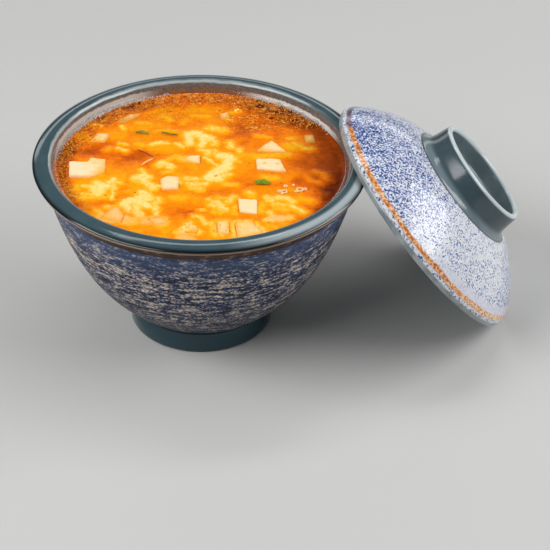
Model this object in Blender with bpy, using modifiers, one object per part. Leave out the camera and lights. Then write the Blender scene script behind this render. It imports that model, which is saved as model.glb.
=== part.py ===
"""A bowl of hot and sour soup, with the bowl's own lid leaning on its rim.

A footed stoneware bowl holds broth up to 6.3 mm under its rim. Tofu, pale slices, egg curds and
greens lie in the broth. The lid stands on its edge beside the bowl and leans on the bowl's rim.
Metres, +Z up. +X points from the bowl to the lid, and the origin is the middle of the whole on
the surface that it stands on.
"""

import math
import random

import bmesh
import bpy
from mathutils import Matrix, Vector

MM = 0.001
GAP = 0.3 * MM  # clearance between pieces that touch in the real thing
MERGE = 0.01 * MM

# Bowl: radii and heights of its main steps.
RIM_RADIUS = 77.6 * MM
BOWL_HEIGHT = 88.5 * MM
FOOT_RADIUS = 33.4 * MM
FOOT_HEIGHT = 11.3 * MM
FOOT_WALL = 6.0 * MM
FOOT_RECESS = 8.5 * MM
FLOOR_HEIGHT = 15.5 * MM  # the inside bottom
RIM_BAND = 9.6 * MM  # height of the rim's rolled edge and the bare band under it
BODY_RADIUS = 72.3 * MM  # outside, where the bare band starts
BOWL_STEPS = 64

# Soup.
SOUP_DEPTH = 6.3 * MM  # from the rim's top down to the broth
SOUP_RADIUS = 67.5 * MM
TOFU_THICKNESS = 8.5 * MM
TOFU_BEVEL = 0.5 * MM
SLICE_THICKNESS = 2.5 * MM
CURD_SPACING = 4.8 * MM
CURD_HEIGHT = 1.5 * MM
LUMP_SIDES = 8
LUMP_RINGS = 4
SEED = 7

# Lid: sizes along its own axis, from the plane of its edge.
LID_RADIUS = 62.2 * MM
LID_DOME_HEIGHT = 25.4 * MM
LID_RING_RADIUS = 26.7 * MM
LID_RING_BASE = 30.6 * MM
LID_RING_WALL = 2.6 * MM
LID_RING_HOLLOW = 9.2 * MM
LID_HEIGHT = 38.6 * MM
LID_WALL = 2.6 * MM  # at its edge, and thicker towards the ring
LID_STEPS = 64
LID_TILT = math.radians(50.6)  # of its axis from upright, leaning back towards the bowl
LID_REACH = 103.9 * MM  # from the bowl's axis to the middle of the lid's edge plane

BOWL_COLOUR = (0.16, 0.18, 0.27)
SOUP_COLOUR = (0.84, 0.29, 0.01)
TOFU_COLOUR = (0.93, 0.80, 0.56)
SLICE_COLOUR = (0.86, 0.50, 0.22)
LID_COLOUR = (0.42, 0.47, 0.62)


def clear_scene():
    """Remove every object of the scene."""
    for thing in list(bpy.data.objects):
        bpy.data.objects.remove(thing, do_unlink=True)


def new_collection(name):
    """Make a collection in the scene."""
    collection = bpy.data.collections.new(name)
    bpy.context.scene.collection.children.link(collection)
    return collection


def new_material(name, colour, roughness):
    """Make a Principled material."""
    material = bpy.data.materials.new(name)
    material.use_nodes = True
    shader = material.node_tree.nodes["Principled BSDF"]
    shader.inputs["Base Color"].default_value = (*colour, 1.0)
    shader.inputs["Roughness"].default_value = roughness
    shader.inputs["Metallic"].default_value = 0.0
    return material


def curve_points(start, start_pull, end_pull, end, count):
    """Points along a cubic Bezier curve, ends included."""
    points = []
    for i in range(count):
        t = i / (count - 1)
        weights = ((1 - t) ** 3, 3 * t * (1 - t) ** 2, 3 * t * t * (1 - t), t**3)
        knots = (start, start_pull, end_pull, end)
        points.append(tuple(sum(w * k[axis] for w, k in zip(weights, knots)) for axis in (0, 1)))
    return points


def turned(name, profile, steps, material, collection):
    """A solid turned about Z from (radius, height) points that start and end on the axis."""
    mesh = bpy.data.meshes.new(name)
    edges = [(i, i + 1) for i in range(len(profile) - 1)]
    mesh.from_pydata([(radius, 0.0, height) for radius, height in profile], edges, [])
    mesh.materials.append(material)
    body = bpy.data.objects.new(name, mesh)
    collection.objects.link(body)
    screw = body.modifiers.new("Turn", "SCREW")
    screw.axis = "Z"
    screw.angle = 2 * math.pi
    screw.steps = screw.render_steps = steps
    screw.use_merge_vertices = True
    screw.merge_threshold = MERGE
    screw.use_smooth_shade = True
    return body


def make_mesh(thing, collection):
    """Replace an object by a plain mesh of what its modifiers or curve give."""
    bpy.context.view_layer.update()
    evaluated = thing.evaluated_get(bpy.context.evaluated_depsgraph_get())
    mesh = bpy.data.meshes.new_from_object(evaluated)
    shape = bmesh.new()
    shape.from_mesh(mesh)
    bmesh.ops.remove_doubles(shape, verts=shape.verts, dist=MERGE)
    bmesh.ops.recalc_face_normals(shape, faces=shape.faces)
    shape.to_mesh(mesh)
    shape.free()
    name, place = thing.name, thing.matrix_world.copy()
    bpy.data.objects.remove(thing, do_unlink=True)
    solid = bpy.data.objects.new(name, mesh)
    solid.matrix_world = place
    collection.objects.link(solid)
    return solid


def inner_wall():
    """The bowl's inside from the middle of its floor up to the broth, as (radius, height)."""
    floor = (24.0 * MM, FLOOR_HEIGHT + 1.0 * MM)
    broth = (SOUP_RADIUS, BOWL_HEIGHT - SOUP_DEPTH)
    wall = curve_points(floor, (46.5 * MM, 22.5 * MM), (57.5 * MM, 44.0 * MM), broth, 9)
    return [(0.0, FLOOR_HEIGHT), *wall]


def bowl_profile():
    """The bowl's section: up the inside, over the rim, down the outside and under the foot."""
    top = BOWL_HEIGHT
    rim = [
        (68.6 * MM, top - 2.4 * MM),
        (69.5 * MM, top - 0.7 * MM),
        (71.2 * MM, top),
        (75.2 * MM, top - 0.3 * MM),
        (76.9 * MM, top - 0.9 * MM),
        (RIM_RADIUS, top - 1.9 * MM),
        (76.5 * MM, top - 2.6 * MM),
        (77.0 * MM, top - 3.4 * MM),
        (75.9 * MM, top - 4.4 * MM),
    ]
    body = curve_points(
        (BODY_RADIUS, top - RIM_BAND),
        (62.2 * MM, 43.0 * MM),
        (53.4 * MM, 27.5 * MM),
        (FOOT_RADIUS - 0.2 * MM, FOOT_HEIGHT),
        10,
    )
    foot = [
        (FOOT_RADIUS, 1.3 * MM),
        (FOOT_RADIUS - 1.2 * MM, 0.0),
        (FOOT_RADIUS - FOOT_WALL, 0.0),
        (FOOT_RADIUS - FOOT_WALL - 0.8 * MM, 0.8 * MM),
        (FOOT_RADIUS - FOOT_WALL - 2.5 * MM, FOOT_RECESS - 1.0 * MM),
        (0.0, FOOT_RECESS),
    ]
    return [*inner_wall(), *rim, *body, *foot]


def broth_profile():
    """The broth's section: flat top from the axis out, then down just inside the bowl's wall."""
    wall = inner_wall()
    shrunk = []
    for i in range(1, len(wall)):
        before, after = wall[i - 1], wall[min(i + 1, len(wall) - 1)]
        run, rise = after[0] - before[0], after[1] - before[1]
        length = math.hypot(run, rise)
        radius, height = wall[i]
        shrunk.append((radius - GAP * rise / length, height + GAP * run / length))
    level = BOWL_HEIGHT - SOUP_DEPTH
    edge = (shrunk[-1][0], level)
    middle = (SOUP_RADIUS * 0.5, level)
    return [(0.0, level), middle, edge, *reversed(shrunk[:-1]), (0.0, FLOOR_HEIGHT + GAP)]


def lid_profile():
    """The lid's section from its edge plane: ring, dome, edge, then the hollow underneath."""
    floor = LID_HEIGHT - LID_RING_HOLLOW
    ring = [
        (0.0, floor),
        (LID_RING_RADIUS - 4.6 * MM, floor),
        (LID_RING_RADIUS - 3.6 * MM, floor + 1.2 * MM),
        (LID_RING_RADIUS - LID_RING_WALL - 0.4 * MM, LID_HEIGHT - 0.9 * MM),
        (LID_RING_RADIUS - LID_RING_WALL + 0.4 * MM, LID_HEIGHT),
        (LID_RING_RADIUS - 0.6 * MM, LID_HEIGHT),
        (LID_RING_RADIUS, LID_HEIGHT - 0.7 * MM),
        (LID_RING_RADIUS + 0.8 * MM, LID_DOME_HEIGHT + 4.4 * MM),
        (LID_RING_RADIUS + 1.3 * MM, LID_DOME_HEIGHT + 2.2 * MM),
        (LID_RING_RADIUS + 2.4 * MM, LID_DOME_HEIGHT + 0.7 * MM),
    ]
    dome = curve_points(
        (LID_RING_BASE, LID_DOME_HEIGHT),
        (44.5 * MM, 23.7 * MM),
        (LID_RADIUS + 3.1 * MM, 4.8 * MM),
        (LID_RADIUS, 1.3 * MM),
        9,
    )
    edge = [(LID_RADIUS - 0.9 * MM, 0.0), (LID_RADIUS - LID_WALL + 0.7 * MM, 0.2 * MM)]
    hollow = curve_points(
        (LID_RADIUS - LID_WALL, 1.4 * MM),
        (LID_RADIUS - 1.6 * MM, 6.0 * MM),
        (45.0 * MM, 19.6 * MM),
        (27.0 * MM, 20.9 * MM),
        7,
    )
    return [*ring, *dome, *edge, *hollow, (0.0, 21.2 * MM)]


def lid_rise():
    """Height of the lid's edge plane at its middle, so that its lowest point is on the floor."""
    tilt_sin, tilt_cos = math.sin(LID_TILT), math.cos(LID_TILT)
    return max(radius * tilt_sin - height * tilt_cos for radius, height in lid_profile())


def bowl_offset():
    """Where the bowl's axis is along X, so that the whole is centred on the origin."""
    tilt_sin, tilt_cos = math.sin(LID_TILT), math.cos(LID_TILT)
    beyond = max(height * tilt_sin + radius * tilt_cos for radius, height in lid_profile())
    return -(LID_REACH + beyond - RIM_RADIUS) / 2


def make_bowl(collection):
    """The footed bowl, one turned piece."""
    material = new_material("bowl glaze", BOWL_COLOUR, 0.35)
    bowl = turned("bowl", bowl_profile(), BOWL_STEPS, material, collection)
    bowl.location.x = bowl_offset()


def make_lid(collection):
    """The domed lid with its ring handle, turned and then leaned on the bowl's rim."""
    material = new_material("lid glaze", LID_COLOUR, 0.35)
    lid = turned("lid", lid_profile(), LID_STEPS, material, collection)
    lid.rotation_euler.y = LID_TILT
    lid.location = (bowl_offset() + LID_REACH, 0.0, lid_rise())


# Outlines of what floats in the broth, seen from above: millimetres from the bowl's axis.
TOFU = {
    "tofu_01": ((-60.4, 10.0), (-52.0, 9.4), (-50.0, 13.2), (-43.0, 12.0), (-43.8, -0.4),
                (-50.4, -4.6), (-60.8, -3.4)),
    "tofu_02": ((-50.0, 27.6), (-45.8, 34.6), (-39.2, 33.6), (-42.8, 26.2)),
    "tofu_03": ((-36.8, 44.6), (-28.8, 51.6), (-23.8, 50.8), (-32.4, 43.0)),
    "tofu_04": ((26.6, 11.0), (35.2, 21.2), (41.0, 9.4)),
    "tofu_05": ((26.0, 4.2), (37.2, 2.8), (39.2, -8.6), (25.4, -4.4)),
    "tofu_06": ((14.2, -29.0), (22.8, -30.8), (21.4, -42.6), (13.6, -40.0)),
    "tofu_07": ((-9.8, 7.4), (-5.0, 10.2), (0.6, 9.6), (-0.2, 2.8)),
    "tofu_08": ((-19.8, -8.6), (-15.8, -5.6), (-10.2, -7.4), (-12.0, -18.2), (-19.4, -17.6)),
    "tofu_09": ((51.0, 24.6), (55.6, 24.0), (56.2, 17.0), (50.6, 17.4)),
    "tofu_10": ((-11.2, -46.4), (-6.4, -47.6), (-5.6, -54.8), (-12.6, -53.8)),
    "tofu_11": ((2.4, -45.6), (8.4, -45.8), (7.8, -57.2), (2.2, -56.6)),
    "tofu_12": ((10.6, -47.8), (19.0, -47.6), (23.0, -57.6), (10.4, -60.6)),
    "tofu_13": ((12.8, 47.8), (17.6, 48.4), (18.2, 42.0), (13.4, 42.2)),
}
SLICES = {
    "slice_01": ((-49.4, -38.8), (-43.0, -29.4), (-39.8, -30.2), (-37.4, -37.0), (-39.8, -43.6)),
    "slice_02": ((-28.0, -40.8), (-22.0, -39.4), (-17.8, -43.8), (-24.4, -47.4)),
}
TOFU_STANDS_PROUD = 0.8 * MM
SLICE_STANDS_PROUD = 0.5 * MM

# Egg curds drift along gentle arcs: start, end, sideways bow and width, in millimetres.
EGG_ARCS = (
    ((-4.4, 25.5), (7.1, 24.0), 2.5, 6.0),
    ((-2.4, 20.5), (4.1, 18.0), -1.0, 4.0),
    ((2.6, 13.0), (13.6, 6.0), 3.5, 4.5),
    ((11.6, 3.0), (2.1, -10.0), 1.5, 5.5),
    ((2.6, 8.5), (7.1, 2.5), 0.0, 2.5),
    ((-54.9, -12.0), (-42.4, -8.5), 1.5, 4.0),
    ((-51.9, -17.0), (-43.4, -14.0), -1.0, 4.5),
    ((-55.9, -18.0), (-42.9, -20.0), -2.5, 3.0),
    ((-40.4, -10.5), (-41.9, -23.5), 2.0, 3.0),
    ((-38.4, -28.0), (-25.9, -22.0), 2.0, 5.5),
    ((-35.9, -33.0), (-24.4, -31.5), 2.5, 4.5),
    ((-31.9, -6.5), (-25.9, -9.5), 2.0, 4.0),
    ((-26.4, -12.0), (-20.9, -21.5), -2.0, 3.5),
    ((0.1, -34.0), (9.1, -37.0), 2.0, 6.0),
    ((5.1, -28.5), (11.1, -25.5), 0.0, 2.5),
    ((26.6, -29.5), (39.1, -32.0), 2.5, 4.5),
    ((27.6, -34.5), (41.6, -41.5), 1.0, 4.0),
    ((28.1, -43.5), (37.6, -45.5), -2.0, 4.0),
    ((6.1, 33.5), (15.1, 32.0), 2.0, 3.5),
    ((-21.9, 5.0), (-13.9, 1.0), 2.0, 3.5),
    ((-21.9, 20.5), (-14.9, 22.5), 0.5, 2.5),
    ((-8.4, -20.0), (1.6, -16.0), 1.0, 4.0),
    ((-37.4, 20.5), (-32.4, 18.0), 0.5, 2.5),
    ((23.6, -51.0), (30.1, -50.5), 1.0, 3.0),
    ((-10.9, -32.0), (-18.4, -34.5), 1.0, 3.5),
)

# Greens and dark shreds on the broth: start, end, bow, width and height, in millimetres.
SHREDS = (
    ((-27.4, 34.0), (-21.9, 31.5), 0.6, 1.8, 0.7),
    ((-16.4, 32.5), (-7.9, 29.0), -0.8, 1.2, 0.6),
    ((23.1, -16.5), (30.1, -16.5), 0.8, 4.0, 1.0),
    ((-29.4, 20.0), (-20.9, 10.5), 0.5, 1.4, 0.5),
    ((-27.9, 3.5), (-21.4, 8.5), 0.0, 1.2, 0.6),
)


def grown(outline, margin):
    """The outline with each side moved outwards by margin; its corners run clockwise."""
    corners = [Vector(corner) for corner in outline]
    count = len(corners)
    result = []
    for i, corner in enumerate(corners):
        into = (corner - corners[i - 1]).normalized()
        out = (corners[(i + 1) % count] - corner).normalized()
        into_side, out_side = Vector((-into.y, into.x)), Vector((-out.y, out.x))
        reach = margin / max(0.35, 1 + into_side.dot(out_side))
        result.append(corner + (into_side + out_side) * reach)
    return result


def slab(name, outline, bottom, top, collection):
    """A block of the given outline, standing between two heights in the bowl."""
    curve = bpy.data.curves.new(name, "CURVE")
    curve.dimensions = "2D"
    curve.fill_mode = "BOTH"
    curve.extrude = (top - bottom) / 2
    spline = curve.splines.new("POLY")
    spline.points.add(len(outline) - 1)
    for point, (x, y) in zip(spline.points, outline):
        point.co = (x, y, 0.0, 1.0)
    spline.use_cyclic_u = True
    block = bpy.data.objects.new(name, curve)
    block.location = (bowl_offset(), 0.0, (bottom + top) / 2)
    collection.objects.link(block)
    return make_mesh(block, collection)


def make_floating(pieces, thickness, proud, material, collection, pockets):
    """Bevelled blocks of food at the broth's surface, each with a cutter for its pocket."""
    level = BOWL_HEIGHT - SOUP_DEPTH
    for name, outline in pieces.items():
        corners = [(x * MM, y * MM) for x, y in outline]
        top = level + proud
        block = slab(name, corners, top - thickness, top, collection)
        block.data.materials.append(material)
        bevel = block.modifiers.new("Soft edges", "BEVEL")
        bevel.width = TOFU_BEVEL
        bevel.segments = 1
        bevel.limit_method = "ANGLE"
        room = grown(corners, GAP)
        pocket = slab(name + "_pocket", room, top - thickness - GAP, top + thickness, pockets)
        pocket.hide_render = True
        pocket.display_type = "WIRE"


def arc_point(start, end, bow, t):
    """A point at t from 0 to 1 along an arc that bows sideways between two points."""
    chord = Vector(end) - Vector(start)
    side = Vector((-chord.y, chord.x)).normalized()
    return Vector(start) + chord * t + side * (4 * bow * t * (1 - t))


def add_lump(place, half_sizes, turn, roughness, rng, collection):
    """A flattened, uneven lump half sunk in the broth."""
    bpy.ops.mesh.primitive_uv_sphere_add(segments=LUMP_SIDES, ring_count=LUMP_RINGS, radius=1.0)
    lump = bpy.context.object
    for vertex in lump.data.vertices:
        vertex.co *= 1 + rng.uniform(-roughness, roughness)
    shape = Matrix.Diagonal((*half_sizes, 1.0))
    lump.data.transform(Matrix.Rotation(turn, 4, "Z") @ shape)
    lump.location = place
    for owner in list(lump.users_collection):
        owner.objects.unlink(lump)
    collection.objects.link(lump)


def add_egg_curds(rng, collection):
    """Lumps of egg strung along each arc."""
    level = BOWL_HEIGHT - SOUP_DEPTH
    for start, end, bow, width in EGG_ARCS:
        length = (Vector(end) - Vector(start)).length * MM
        count = max(2, round(length / CURD_SPACING))
        for i in range(count):
            spot = arc_point(start, end, bow, (i + rng.uniform(0.3, 0.7)) / count) * MM
            drift = rng.uniform(-0.15, 0.15) * width * MM
            half_width = width * MM * rng.uniform(0.5, 0.62)
            half_length = CURD_SPACING * rng.uniform(0.7, 0.95)
            heading = math.atan2(end[1] - start[1], end[0] - start[0])
            place = (bowl_offset() + spot.x, spot.y + drift, level - 0.2 * MM)
            half_height = CURD_HEIGHT * rng.uniform(0.7, 1.0)
            sizes = (half_length, half_width, half_height)
            add_lump(place, sizes, heading + rng.uniform(-0.5, 0.5), 0.12, rng, collection)


def add_shreds(rng, collection):
    """Long thin pieces of green and mushroom on the broth."""
    level = BOWL_HEIGHT - SOUP_DEPTH
    for start, end, bow, width, height in SHREDS:
        chord = Vector(end) - Vector(start)
        middle = arc_point(start, end, bow, 0.5) * MM
        place = (bowl_offset() + middle.x, middle.y, level)
        sizes = (chord.length * MM / 2, width * MM / 2, height * MM)
        heading = math.atan2(chord.y, chord.x)
        add_lump(place, sizes, heading, 0.02, rng, collection)


def make_soup(collection, pockets):
    """The broth with its curds and shreds fused on, cut round what floats in it."""
    material = new_material("hot and sour broth", SOUP_COLOUR, 0.12)
    soup = turned("soup", broth_profile(), BOWL_STEPS, material, collection)
    soup.location.x = bowl_offset()
    soup = make_mesh(soup, collection)
    lumps = new_collection("lumps in the soup")
    rng = random.Random(SEED)
    add_egg_curds(rng, lumps)
    add_shreds(rng, lumps)
    union = soup.modifiers.new("Fuse lumps", "BOOLEAN")
    union.operation = "UNION"
    union.operand_type = "COLLECTION"
    union.collection = lumps
    soup = make_mesh(soup, collection)
    for lump in list(lumps.objects):
        bpy.data.objects.remove(lump, do_unlink=True)
    bpy.data.collections.remove(lumps)
    cut = soup.modifiers.new("Cut pockets", "BOOLEAN")
    cut.operation = "DIFFERENCE"
    cut.operand_type = "COLLECTION"
    cut.collection = pockets


def main():
    """Build the bowl, its lid, and what the bowl holds."""
    clear_scene()
    parts = new_collection("bowl of hot and sour soup")
    pockets = new_collection("cutters")
    make_bowl(parts)
    make_lid(parts)
    tofu = new_material("tofu", TOFU_COLOUR, 0.3)
    slices = new_material("pale slices", SLICE_COLOUR, 0.3)
    make_floating(TOFU, TOFU_THICKNESS, TOFU_STANDS_PROUD, tofu, parts, pockets)
    make_floating(SLICES, SLICE_THICKNESS, SLICE_STANDS_PROUD, slices, parts, pockets)
    make_soup(parts, pockets)


main()
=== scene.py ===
"""A glazed, footed bowl of hot and sour soup with its domed lid leaning on the rim.

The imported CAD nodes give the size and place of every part. Each class below builds one
sub-assembly over its nodes and dresses it. Lengths are in metres where no comment says mm, in
the frame of the CAD: X runs from the bowl to the lid, Y to the far side of the bowl, and Z up.
"""

import logging
import math
import random
from contextlib import contextmanager
from dataclasses import dataclass, field
from enum import Enum
from typing import Any, Callable, Iterator, Sequence

import bpy
import numpy as np
from mathutils import Matrix, Vector
from mathutils.bvhtree import BVHTree


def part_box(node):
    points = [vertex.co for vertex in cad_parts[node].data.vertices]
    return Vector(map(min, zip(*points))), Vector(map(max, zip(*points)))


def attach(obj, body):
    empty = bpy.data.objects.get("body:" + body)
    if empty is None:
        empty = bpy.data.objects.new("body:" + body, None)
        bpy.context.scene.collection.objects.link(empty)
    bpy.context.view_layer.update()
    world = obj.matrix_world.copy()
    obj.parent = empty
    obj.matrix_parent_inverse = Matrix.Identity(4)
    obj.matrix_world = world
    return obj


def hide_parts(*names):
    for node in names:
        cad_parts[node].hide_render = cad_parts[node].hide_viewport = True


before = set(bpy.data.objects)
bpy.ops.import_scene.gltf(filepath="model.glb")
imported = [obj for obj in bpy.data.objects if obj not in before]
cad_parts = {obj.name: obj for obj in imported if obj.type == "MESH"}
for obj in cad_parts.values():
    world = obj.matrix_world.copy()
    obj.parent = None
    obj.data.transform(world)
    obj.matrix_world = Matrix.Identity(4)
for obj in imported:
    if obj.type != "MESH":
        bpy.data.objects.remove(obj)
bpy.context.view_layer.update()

LOG = logging.getLogger("soup_bowl")
MM = 0.001
BODY = "root"  # the one rigid body
SAME_PLACE = 1e-6  # two points closer than this are merged
GLASS_IOR = 1.5

BOWL_LOW, BOWL_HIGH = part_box("bowl")
BOWL_X = (BOWL_LOW.x + BOWL_HIGH.x) / 2  # the bowl's axis
RIM_TOP = BOWL_HIGH.z
BROTH_DROP = 6.3  # mm, from the rim's top down to the broth
BROTH_LEVEL = RIM_TOP - BROTH_DROP * MM
WALL_AT_BROTH = 67.5  # mm, radius of the inner wall where the broth meets it

Point = tuple[float, float]
Place = tuple[float, float, float]
Spot = tuple[float, float, float]  # place on the broth from the bowl's axis, and radius, in mm
Shades = tuple[tuple[float, str], ...]  # colours by height in mm, or by their place on a ramp


class Slot(Enum):
    """The record's material slots."""

    BOWL = "bowl_glaze"
    LID = "lid_glaze"
    BROTH = "broth"
    TOFU = "tofu"
    SLICES = "slices"


# ---------------------------------------------------------------- colour and node helpers


def linear(hex_colour: str) -> tuple[float, float, float, float]:
    """Turn an sRGB hex value into linear colour.

    Args:
        hex_colour: six hex digits, such as "F5EBD2".

    Returns:
        Linear red, green, blue and an alpha of one.
    """
    channels = [int(hex_colour[i : i + 2], 16) / 255 for i in (0, 2, 4)]
    lit = [c / 12.92 if c <= 0.04045 else ((c + 0.055) / 1.055) ** 2.4 for c in channels]
    return (lit[0], lit[1], lit[2], 1.0)


def ramp(shades: Shades) -> tuple[float, float, Shades]:
    """Turn colours by height into the stops of a colour ramp.

    Args:
        shades: the colours, from the lowest to the highest.

    Returns:
        The lowest and the highest height, and the stops between zero and one.
    """
    low, high = shades[0][0], shades[-1][0]
    return low, high, tuple(((at - low) / (high - low), shade) for at, shade in shades)


class MaterialTree:
    """One material's node tree, filled a node at a time."""

    def __init__(self, name: str) -> None:
        """Start an empty tree in a new material.

        Args:
            name: the finish, in a maker's words.
        """
        self.material = bpy.data.materials.new(name)
        self.material.use_nodes = True
        self.tree = self.material.node_tree
        self.tree.nodes.clear()

    def add(
        self,
        kind: str,
        inputs: dict[str | int, Any] | tuple[Any, ...] = (),
        stops: Sequence[tuple[float, str]] = (),
        **settings: Any,
    ) -> Any:
        """Add one node with its settings and links.

        Args:
            kind: the node's type, without the "ShaderNode" in front.
            inputs: values, hex colours or output sockets, by input name or in the order that
                Blender lists them.
            stops: positions and hex colours of a colour ramp.
            settings: properties of the node itself.

        Returns:
            The new node's outputs.
        """
        node = self.tree.nodes.new("ShaderNode" + kind)
        for key, value in settings.items():
            setattr(node, key, value)
        named = inputs.items() if isinstance(inputs, dict) else enumerate(inputs)
        for key, value in named:
            socket = node.inputs[key]
            if isinstance(value, bpy.types.NodeSocket):
                self.tree.links.new(value, socket)
            elif isinstance(value, str):
                socket.default_value = linear(value)
            else:
                socket.default_value = value
        if stops:
            elements = node.color_ramp.elements
            while len(elements) < len(stops):
                elements.new(1.0)
            for element, (place, colour) in zip(elements, stops):
                element.position = place
                element.color = linear(colour)
        return node.outputs

    def round_the_bowl(self) -> tuple[Any, Any, Any]:
        """Find each place of the surface from the bowl's axis.

        Returns:
            The place, its parts along X, Y and Z, and the level direction away from the axis.
        """
        place = self.add("TexCoord")["Object"]
        centred = self.add("Mapping", {"Vector": place, "Location": (-BOWL_X, 0, 0)})[0]
        sides = self.add("SeparateXYZ", {0: centred})
        level = self.add("CombineXYZ", {"X": sides["X"], "Y": sides["Y"]})[0]
        outward = self.add("VectorMath", {0: level}, operation="NORMALIZE")[0]
        return centred, sides, outward

    def banded(
        self,
        colour: Any,
        marks: dict[str, float],
        bands: Sequence[tuple[str, float, Any, Any]],
        wander: float,
    ) -> Any:
        """Lay one glaze after another along a turned section, each from its mark on.

        Args:
            colour: the glaze before the first mark.
            marks: how far along the section each glaze starts, in millimetres.
            bands: each glaze's mark, half the width of its border, the length that the border
                follows, and its colour. The last one's border is level.
            wander: how far the middle of a wandering border is shifted, in millimetres.

        Returns:
            The colour of all of them together.
        """
        plain = bands[-1][2]
        for mark, half, length, laid in bands:
            middle = marks[mark] + (0.0 if length is plain else wander)
            laid_on = self.add(
                "MapRange", (length, middle - half, middle + half), interpolation_type="SMOOTHSTEP"
            )[0]
            colour = self.add("MixRGB", (laid_on, colour, laid))[0]
        return colour

    def finish(self, surface: Any) -> bpy.types.Material:
        """Link the surface to the output.

        Args:
            surface: the shader's output socket.

        Returns:
            The finished material.
        """
        self.add("OutputMaterial", {"Surface": surface})
        return self.material


# ---------------------------------------------------------------- mesh helpers


def deselect_all() -> None:
    """Leave nothing selected and no object in edit mode."""
    if bpy.context.object and bpy.context.object.mode != "OBJECT":
        bpy.ops.object.mode_set(mode="OBJECT")
    bpy.ops.object.select_all(action="DESELECT")


def make_active(piece: bpy.types.Object) -> None:
    """Select one object alone and make it active.

    Args:
        piece: the object to work on.
    """
    deselect_all()
    piece.select_set(True)
    bpy.context.view_layer.objects.active = piece


@contextmanager
def editing(piece: bpy.types.Object) -> Iterator[None]:
    """Keep a piece in edit mode, with all of it selected at first.

    Args:
        piece: the piece to work on.

    Yields:
        Nothing, while the piece is in edit mode.
    """
    make_active(piece)
    bpy.ops.object.mode_set(mode="EDIT")
    bpy.ops.mesh.select_all(action="SELECT")
    yield
    bpy.ops.object.mode_set(mode="OBJECT")


def close_seams() -> None:
    """Merge the doubled points of the piece in edit mode, and point its faces outwards."""
    bpy.ops.mesh.select_all(action="SELECT")
    bpy.ops.mesh.remove_doubles(threshold=SAME_PLACE)
    bpy.ops.mesh.normals_make_consistent(inside=False)


def modify(piece: bpy.types.Object, kind: str, **settings: Any) -> None:
    """Give a piece one modifier and apply it.

    Args:
        piece: the piece.
        kind: the modifier's type.
        settings: the modifier's properties.
    """
    make_active(piece)
    modifier = piece.modifiers.new(kind.lower(), kind)
    for key, value in settings.items():
        setattr(modifier, key, value)
    bpy.ops.object.modifier_apply(modifier=modifier.name)


def just_added(name: str) -> bpy.types.Object:
    """The object that an operator has just made, under its own name.

    Args:
        name: the name for the object and its mesh.

    Returns:
        The object.
    """
    piece = bpy.context.object
    piece.name = piece.data.name = name
    return piece


def points_of(piece: bpy.types.Object) -> np.ndarray:
    """All points of a mesh piece, one row of X, Y and Z each."""
    return np.array([vertex.co[:] for vertex in piece.data.vertices])


def settle(piece: bpy.types.Object) -> None:
    """Put the object's place into its mesh, so that the object sits unturned at the origin.

    Args:
        piece: the object to settle.
    """
    bpy.context.view_layer.update()
    piece.data.transform(piece.matrix_world)
    piece.matrix_world = Matrix.Identity(4)


def joined(name: str, pieces: Sequence[bpy.types.Object]) -> bpy.types.Object:
    """Join several objects into one.

    Args:
        name: the name of the joined piece.
        pieces: the objects, of which the first takes in the others.

    Returns:
        The joined object.
    """
    deselect_all()
    for piece in pieces:
        piece.select_set(True)
    bpy.context.view_layer.objects.active = pieces[0]
    bpy.ops.object.join()
    return just_added(name)


def bezier(knots: Sequence[Point], count: int) -> list[Point]:
    """Points along a cubic Bezier curve, ends included.

    Args:
        knots: start, two pulls and end.
        count: how many points.

    Returns:
        The points, in the unit of the knots.
    """
    points = []
    for i in range(count):
        t = i / (count - 1)
        weights = ((1 - t) ** 3, 3 * t * (1 - t) ** 2, 3 * t * t * (1 - t), t**3)
        points.append(tuple(sum(w * k[axis] for w, k in zip(weights, knots)) for axis in (0, 1)))
    return points


def smooth_through(points: Sequence[Point], per_span: int = 4) -> list[Point]:
    """A smooth line through all the points, with none of a spline's overshoot at the ends.

    Args:
        points: the points to pass through.
        per_span: how many steps lie between two of them.

    Returns:
        The points of the smooth line.
    """
    padded = [points[0], *points, points[-1]]
    line: list[Point] = []
    for before, start, end, after in zip(padded, padded[1:], padded[2:], padded[3:]):
        for i in range(per_span):
            t = i / per_span
            line.append(
                tuple(
                    0.5
                    * (
                        2 * start[k]
                        + (end[k] - before[k]) * t
                        + (2 * before[k] - 5 * start[k] + 4 * end[k] - after[k]) * t * t
                        + (3 * start[k] - before[k] - 3 * end[k] + after[k]) * t**3
                    )
                    for k in (0, 1)
                )
            )
    return [*line, points[-1]]


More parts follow.
